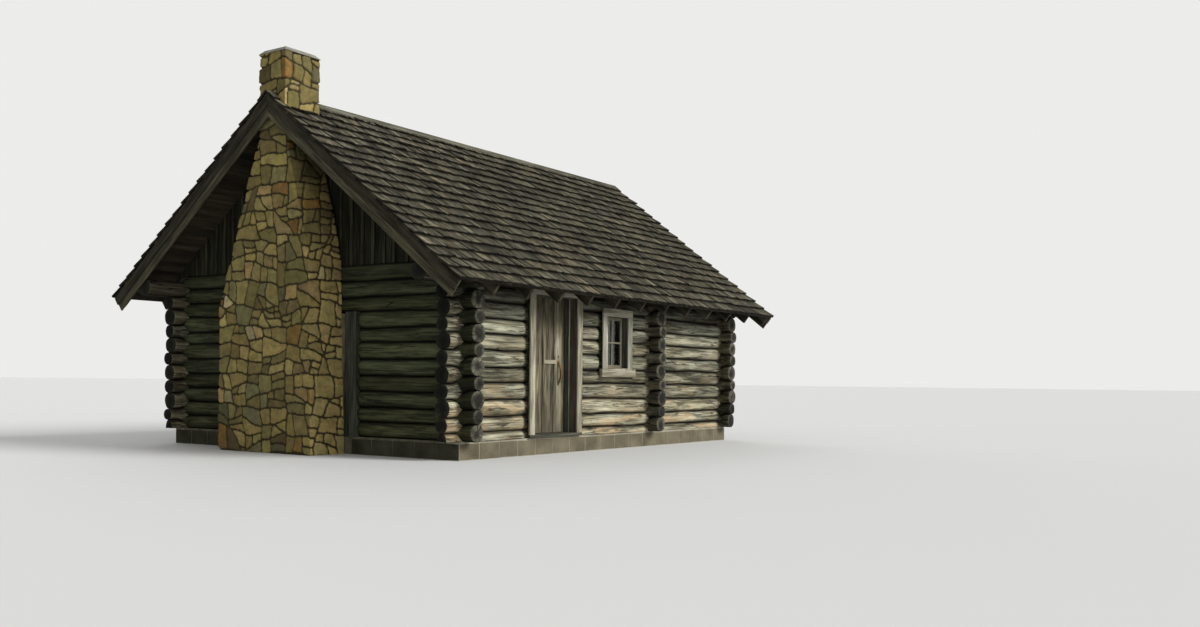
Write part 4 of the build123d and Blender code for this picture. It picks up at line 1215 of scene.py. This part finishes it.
rng = np.random.default_rng(52)
leaf_x, leaf_z, leaf_face, leaf_back = (-2.075, -1.078), (0.29, 2.228), -2.72, -2.695
plank_edges = (leaf_x[0], -1.862, -1.618, -1.345, leaf_x[1])
skins = []
for index, (x0, x1, tint) in enumerate(zip(plank_edges, plank_edges[1:], (0.3, 0.65, 0.35, 0.7))):
    shape = plank((x0 + 0.001, leaf_face, leaf_z[0]), (x1 - 0.001, leaf_back, leaf_z[1]), 2, 1, rng,
                  edge=0.012, wander=0.0003, clean=0.0)
    skins.append(skin(shape, 560 + index, tint))
placed(joined("door_leaf", skins, [door_material()]), "door_wood", "door_planks", body="door")
ledge_inset, ledge_half, ledge_back, ledge_rise = 0.06, 0.06, -2.67, 0.18
ledges = [((leaf_x[0] + ledge_inset, leaf_back, z - ledge_half),
           (leaf_x[1] - ledge_inset, ledge_back, z + ledge_half), 0, 1)
          for z in np.linspace(leaf_z[0] + ledge_rise, leaf_z[1] - ledge_rise, 3)]
skins = planks(ledges, rng, 570, 0.5)
placed(joined("door_ledges", skins, [lining_wood]), "door_wood", "door_battens", body="door")
latch_wood = wood_material("latch_wood", (0.34, 0.325, 0.255), (0.14, 0.13, 0.095), (0.2, 0.17, 0.11), 0.002,
                           fineness=40.0, checks=0.5, knots=0.3)
latch_x, latch_face, latch_z = (-1.608, -1.308), -2.74, (1.2805, 1.3355)
latch = [((latch_x[0], latch_face, latch_z[0]), (latch_x[1], leaf_face, latch_z[1]), 0, 1)]
skins = planks(latch, rng, 580, 0.7, edge=0.004)
placed(joined("door_latch", skins, [latch_wood]), "door_wood", "door_latch_bar", body="door")


def black_iron_material():
    """Painted iron, rusting in patches."""
    material, tree, shader = surface_material("black_iron", 0.6)
    rust = noise(object_place(tree), 35.0, 6.0, 0.65)
    shader.inputs["Metallic"].default_value = 0.6
    colour = blended(remap(rust, 0.5, 0.7), (0.022, 0.02, 0.018), (0.10, 0.045, 0.02))
    dressed(shader, colour, rust, 0.001, remap(rust, 0.3, 0.7, 0.45, 0.85))
    return material


finished(black_iron_material(), "door_hinge_straps", "door_hinge_pintles")


def bent_branch(name, path, radii, seed, material):
    """A round branch along a path of points: rings of 14 points square to the path, their radius swelling
    with waves and with the stubs of cut twigs, closed to a point at both ends."""
    rng = np.random.default_rng(seed)
    tangent = np.gradient(path, axis=0)
    tangent /= np.linalg.norm(tangent, axis=1, keepdims=True)
    side = np.cross(tangent, axes[0])
    side /= np.linalg.norm(side, axis=1, keepdims=True)
    other = np.cross(tangent, side)
    angle = np.linspace(0, 2 * pi, 14, endpoint=False)
    c, s = np.cos(angle)[:, None], np.sin(angle)[:, None]
    length = np.concatenate([[0], np.cumsum(np.linalg.norm(np.diff(path, axis=0), axis=1))])[:, None]
    swell = 1 + waves(rng, length, (0.2, 0.09, 0.05), (0.06, 0.05, 0.03))
    swell = swell + 0.05 * np.sin(3 * angle + 9 * length)
    for _ in range(3):
        at, turn = rng.uniform(0.2, 0.8) * length[-1, 0], rng.uniform(0, 2 * pi)
        apart = np.angle(np.exp(1j * (angle - turn)))
        swell = swell + 0.25 * np.exp(-((length - at) / 0.012) ** 2 - (apart / 0.4) ** 2)
    radius = radii[:, None] * swell
    ring = path[:, None] + radius[..., None] * (c * side[:, None] + s * other[:, None])
    ends = np.repeat(path[[0, -1], None], 14, 1)
    points = np.concatenate([ends[:1], ring, ends[1:]])
    stations = np.concatenate([length[:1], length, length[-1:]]).repeat(14, 1)
    grain = np.stack(np.broadcast_arrays(stations, 0.02 * c.T, 0.02 * s.T), -1)
    faces = grid_faces(len(points), 14)
    ends, shade = np.zeros(len(faces), bool), np.ones(stations.size)
    shape = (points.reshape(-1, 3), faces, grain.reshape(-1, 3), ends, shade)
    return joined(name, [skin(shape, seed, 0.5)], [material], True)


share = np.linspace(0, 1, 28)
pull_x, pull_y, pull_foot, pull_rise, pull_bow = -1.238, -2.722, 0.978, 0.344, 0.056
bow = np.stack([pull_x + 0.004 * np.sin(5 * share), pull_y - pull_bow * np.sin(pi * share),
                pull_foot + pull_rise * share], -1)
branch_wood = wood_material("branch_wood", (0.27, 0.165, 0.070), (0.060, 0.032, 0.014), (0.12, 0.07, 0.032),
                            0.002, fineness=50.0, checks=0.6, knots=0.3)
door_pull = bent_branch("door_pull", bow, 0.0125 + 0.0065 * np.sin(pi * share), 61, branch_wood)
placed(door_pull, "branch_wood", "door_handle", body="door")


# Inner doorway
# Plain boards line the gap in the log partition, nailed to the cut ends of its logs: two jambs, a head and
# a threshold.

low_x, high_x = 0.92, 1.18
low_y, low_jamb, high_jamb, high_y = -0.5, -0.465, 0.365, 0.4
threshold_top, head_foot, head_top = 0.27, 2.131, 2.166
passage_lining = [((low_x, low_y, wall_base), (high_x, low_jamb, head_top), 2, 1),
                  ((low_x, high_jamb, wall_base), (high_x, high_y, head_top), 2, 1),
                  ((low_x, low_jamb, head_foot), (high_x, high_jamb, head_top), 1, 2),
                  ((low_x, low_jamb, wall_base), (high_x, high_jamb, threshold_top), 1, 2)]
skins = planks(passage_lining, np.random.default_rng(55), 590, 0.5, wander=0.0)
placed(joined("inner_door_lining", skins, [lining_wood]), "casing_wood", "inner_door_frame")


# Windows
# Fixed wooden sashes with four small lights in a plank-lined opening, with pale flat casings nailed round
# it and a thick sill with horns.

sash_wood = wood_material("sash_wood", (0.26, 0.245, 0.19), (0.10, 0.092, 0.07), (0.15, 0.13, 0.085), 0.0015,
                          fineness=40.0, staining=0.4, checks=0.5, knots=0.2)
pane_low, pane_high, pane_foot, pane_top = -0.28, 0.30, 1.238, 2.024
rail, bar_half = 0.05, 0.012


def glass_material():
    """Old clear glass, a little wavy and dusty."""
    material, tree, shader = surface_material("window_glass", 0.04)
    place = object_place(tree)
    dust = noise(stretched(place, (3.0, 3.0, 2.0)), 1.0, 5.0)
    for socket, value in (("Transmission Weight", 1.0), ("Specular IOR Level", 0.5), ("IOR", 1.45)):
        shader.inputs[socket].default_value = value
    colour = blended(remap(dust, 0.4, 0.75), (0.74, 0.78, 0.73), (0.48, 0.48, 0.41))
    dressed(shader, colour, noise(place, 4.0, 2.0), 0.002, remap(dust, 0.4, 0.75, 0.03, 0.16), 0.4)
    return material


def window(name, side, seed):
    """The woodwork of a window. A part is given by its span across, its depths out from the middle of the
    wall, its span up, its long axis and its face axis."""
    rng = np.random.default_rng(seed)

    def part(x, depth, z, along, face, **shape):
        y = sorted(side * (wall_y + d) for d in depth)
        return plank((x[0], y[0], z[0]), (x[1], y[1], z[1]), along, face, rng, **shape)

    low, high, foot, top = -0.315, 0.335, 1.203, 2.059
    wall_half, between = 0.13, (pane_low, pane_high)
    parts = (((low, pane_low), (foot, top), 2, 0), ((pane_high, high), (foot, top), 2, 0),
             (between, (pane_top, top), 0, 2), (between, (foot, pane_foot), 0, 2))
    lining = [part(x, (-wall_half, wall_half), z, *ways, wander=0.0) for x, z, *ways in parts]
    skins = [skin(shape, seed * 20 + index, rng.uniform(0.4, 0.6)) for index, shape in enumerate(lining)]
    placed(joined(name + "_lining", skins, [lining_wood]), "casing_wood", name + "_frame")
    low, high, top, side_top, sill_foot, sill_top = -0.40, 0.42, 2.144, 2.0225, 1.10, 1.225
    proud, sides, horns = (wall_half, 0.155), (sill_top, side_top), (-0.46, 0.48)
    casing = [part((low, pane_low), proud, sides, 2, 1, wander=0.0012),
              part((pane_high, high), proud, sides, 2, 1, wander=0.0012),
              part((low, high), proud, (pane_top, top), 0, 1, wander=0.0012),
              part(between, (wall_half, 0.15), (sill_top, pane_foot), 0, 1, wander=0.0),
              part(horns, (wall_half, 0.178), (sill_foot, sill_top), 0, 1, wander=0.0012, edge=0.006)]
    skins = [skin(shape, seed * 20 + 5 + index, rng.uniform(0.45, 0.7)) for index, shape in enumerate(casing)]
    placed(joined(name + "_casing", skins, [casing_wood]), "casing_wood")
    x0, x1, z0, z1 = pane_low + 0.001, pane_high - 0.001, pane_foot, pane_top - 0.001
    middle_x, middle_z = (x0 + x1) / 2, (z0 + z1) / 2
    inner_x, thick, thin = (x0 + rail, x1 - rail), (0.002, 0.038), (0.004, 0.036)
    rails = [part((x0, inner_x[0]), thick, (z0, z1), 2, 1), part((inner_x[1], x1), thick, (z0, z1), 2, 1),
             part(inner_x, thick, (z0, z0 + rail), 0, 1), part(inner_x, thick, (z1 - rail, z1), 0, 1)]
    tints = [(0.4, 0.6), (0.4, 0.6), (0.6, 0.9), (0.4, 0.6)]
    skins = [skin(shape, seed * 20 + 10 + index, rng.uniform(*tints[index]))
             for index, shape in enumerate(rails)]
    bars = [part((middle_x - bar_half, middle_x + bar_half), thick, (z0 + rail, z1 - rail), 2, 1, wander=0.0)]
    for span in ((inner_x[0], middle_x - bar_half), (middle_x + bar_half, inner_x[1])):
        bars.append(part(span, thin, (middle_z - bar_half, middle_z + bar_half), 0, 1, wander=0.0))
    skins += [skin(shape, seed * 20 + 4 + index, rng.uniform(0.4, 0.6)) for index, shape in enumerate(bars)]
    placed(joined(name + "_bars", skins, [sash_wood]), "sash_wood", name + "_sash")


window("front_window", -1, 71)
window("back_window", 1, 72)
finished(glass_material(), "front_window_glass", "back_window_glass")


# Studio
# A plain pale floor, a wide soft key from the front right, weaker fills from the front left and from behind,
# and the camera at the place and height that the photo was taken from.

floor_half = 400
floor_corners = [(x * floor_half, y * floor_half, 0) for x, y in ((-1, -1), (1, -1), (1, 1), (-1, 1))]
floor_mesh = bpy.data.meshes.new("studio_floor")
floor_mesh.from_pydata(floor_corners, [], [(0, 1, 2, 3)])
studio_floor = bpy.data.objects.new("studio_floor", floor_mesh)
bpy.context.scene.collection.objects.link(studio_floor)
material, tree, shader = surface_material("studio_floor", 0.9)
shader.inputs["Base Color"].default_value = (0.62, 0.62, 0.61, 1)
floor_mesh.materials.append(material)
studio_floor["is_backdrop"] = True

world = bpy.data.worlds.new("studio")
bpy.context.scene.world = world
world.use_nodes = True
tree = world.node_tree
path = add(tree, "ShaderNodeLightPath").outputs
seen = worked("MAXIMUM", path["Is Camera Ray"],
              worked("MAXIMUM", path["Is Glossy Ray"], path["Is Transmission Ray"]))
backdrop = blended(seen, (0.43, 0.43, 0.42), (0.84, 0.84, 0.83))
tree.links.new(backdrop, tree.nodes["Background"].inputs["Color"])


def soft_sun(name, source, strength, spread):
    """A wide, distant light, so near and far walls are lit alike."""
    light = bpy.data.lights.new(name, "SUN")
    light.energy = strength
    light.angle = radians(spread)
    lamp = bpy.data.objects.new(name, light)
    lamp.rotation_euler = Vector(source).to_track_quat("Z", "Y").to_euler()
    bpy.context.scene.collection.objects.link(lamp)


soft_sun("key", (5.0, -18.0, 11.0), 3.3, 22.0)
soft_sun("fill", (-10.0, -16.0, 5.0), 0.6, 40.0)
soft_sun("back_fill", (14.0, 20.0, 12.0), 0.9, 50.0)

camera = bpy.data.cameras.new("photo_camera")
camera.lens = 33.45
camera.sensor_width = 36.0
camera.shift_y = 0.0564
holder = bpy.data.objects.new("photo_camera", camera)
yaw, roll = radians(33.93), radians(0.634)
ahead = Vector((cos(yaw), sin(yaw), 0))
right = Vector((sin(yaw), -cos(yaw), 0))
above = Vector((0, 0, 1))
across = right * cos(roll) + above * sin(roll)
upward = above * cos(roll) - right * sin(roll)
holder.location = (-14.380, -12.302, 1.037)
holder.rotation_mode = "QUATERNION"
holder.rotation_quaternion = Matrix((across, upward, -ahead)).transposed().to_quaternion()
bpy.context.scene.collection.objects.link(holder)
bpy.context.scene.camera = holder
bpy.context.scene.view_settings.view_transform = "Standard"

low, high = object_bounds()
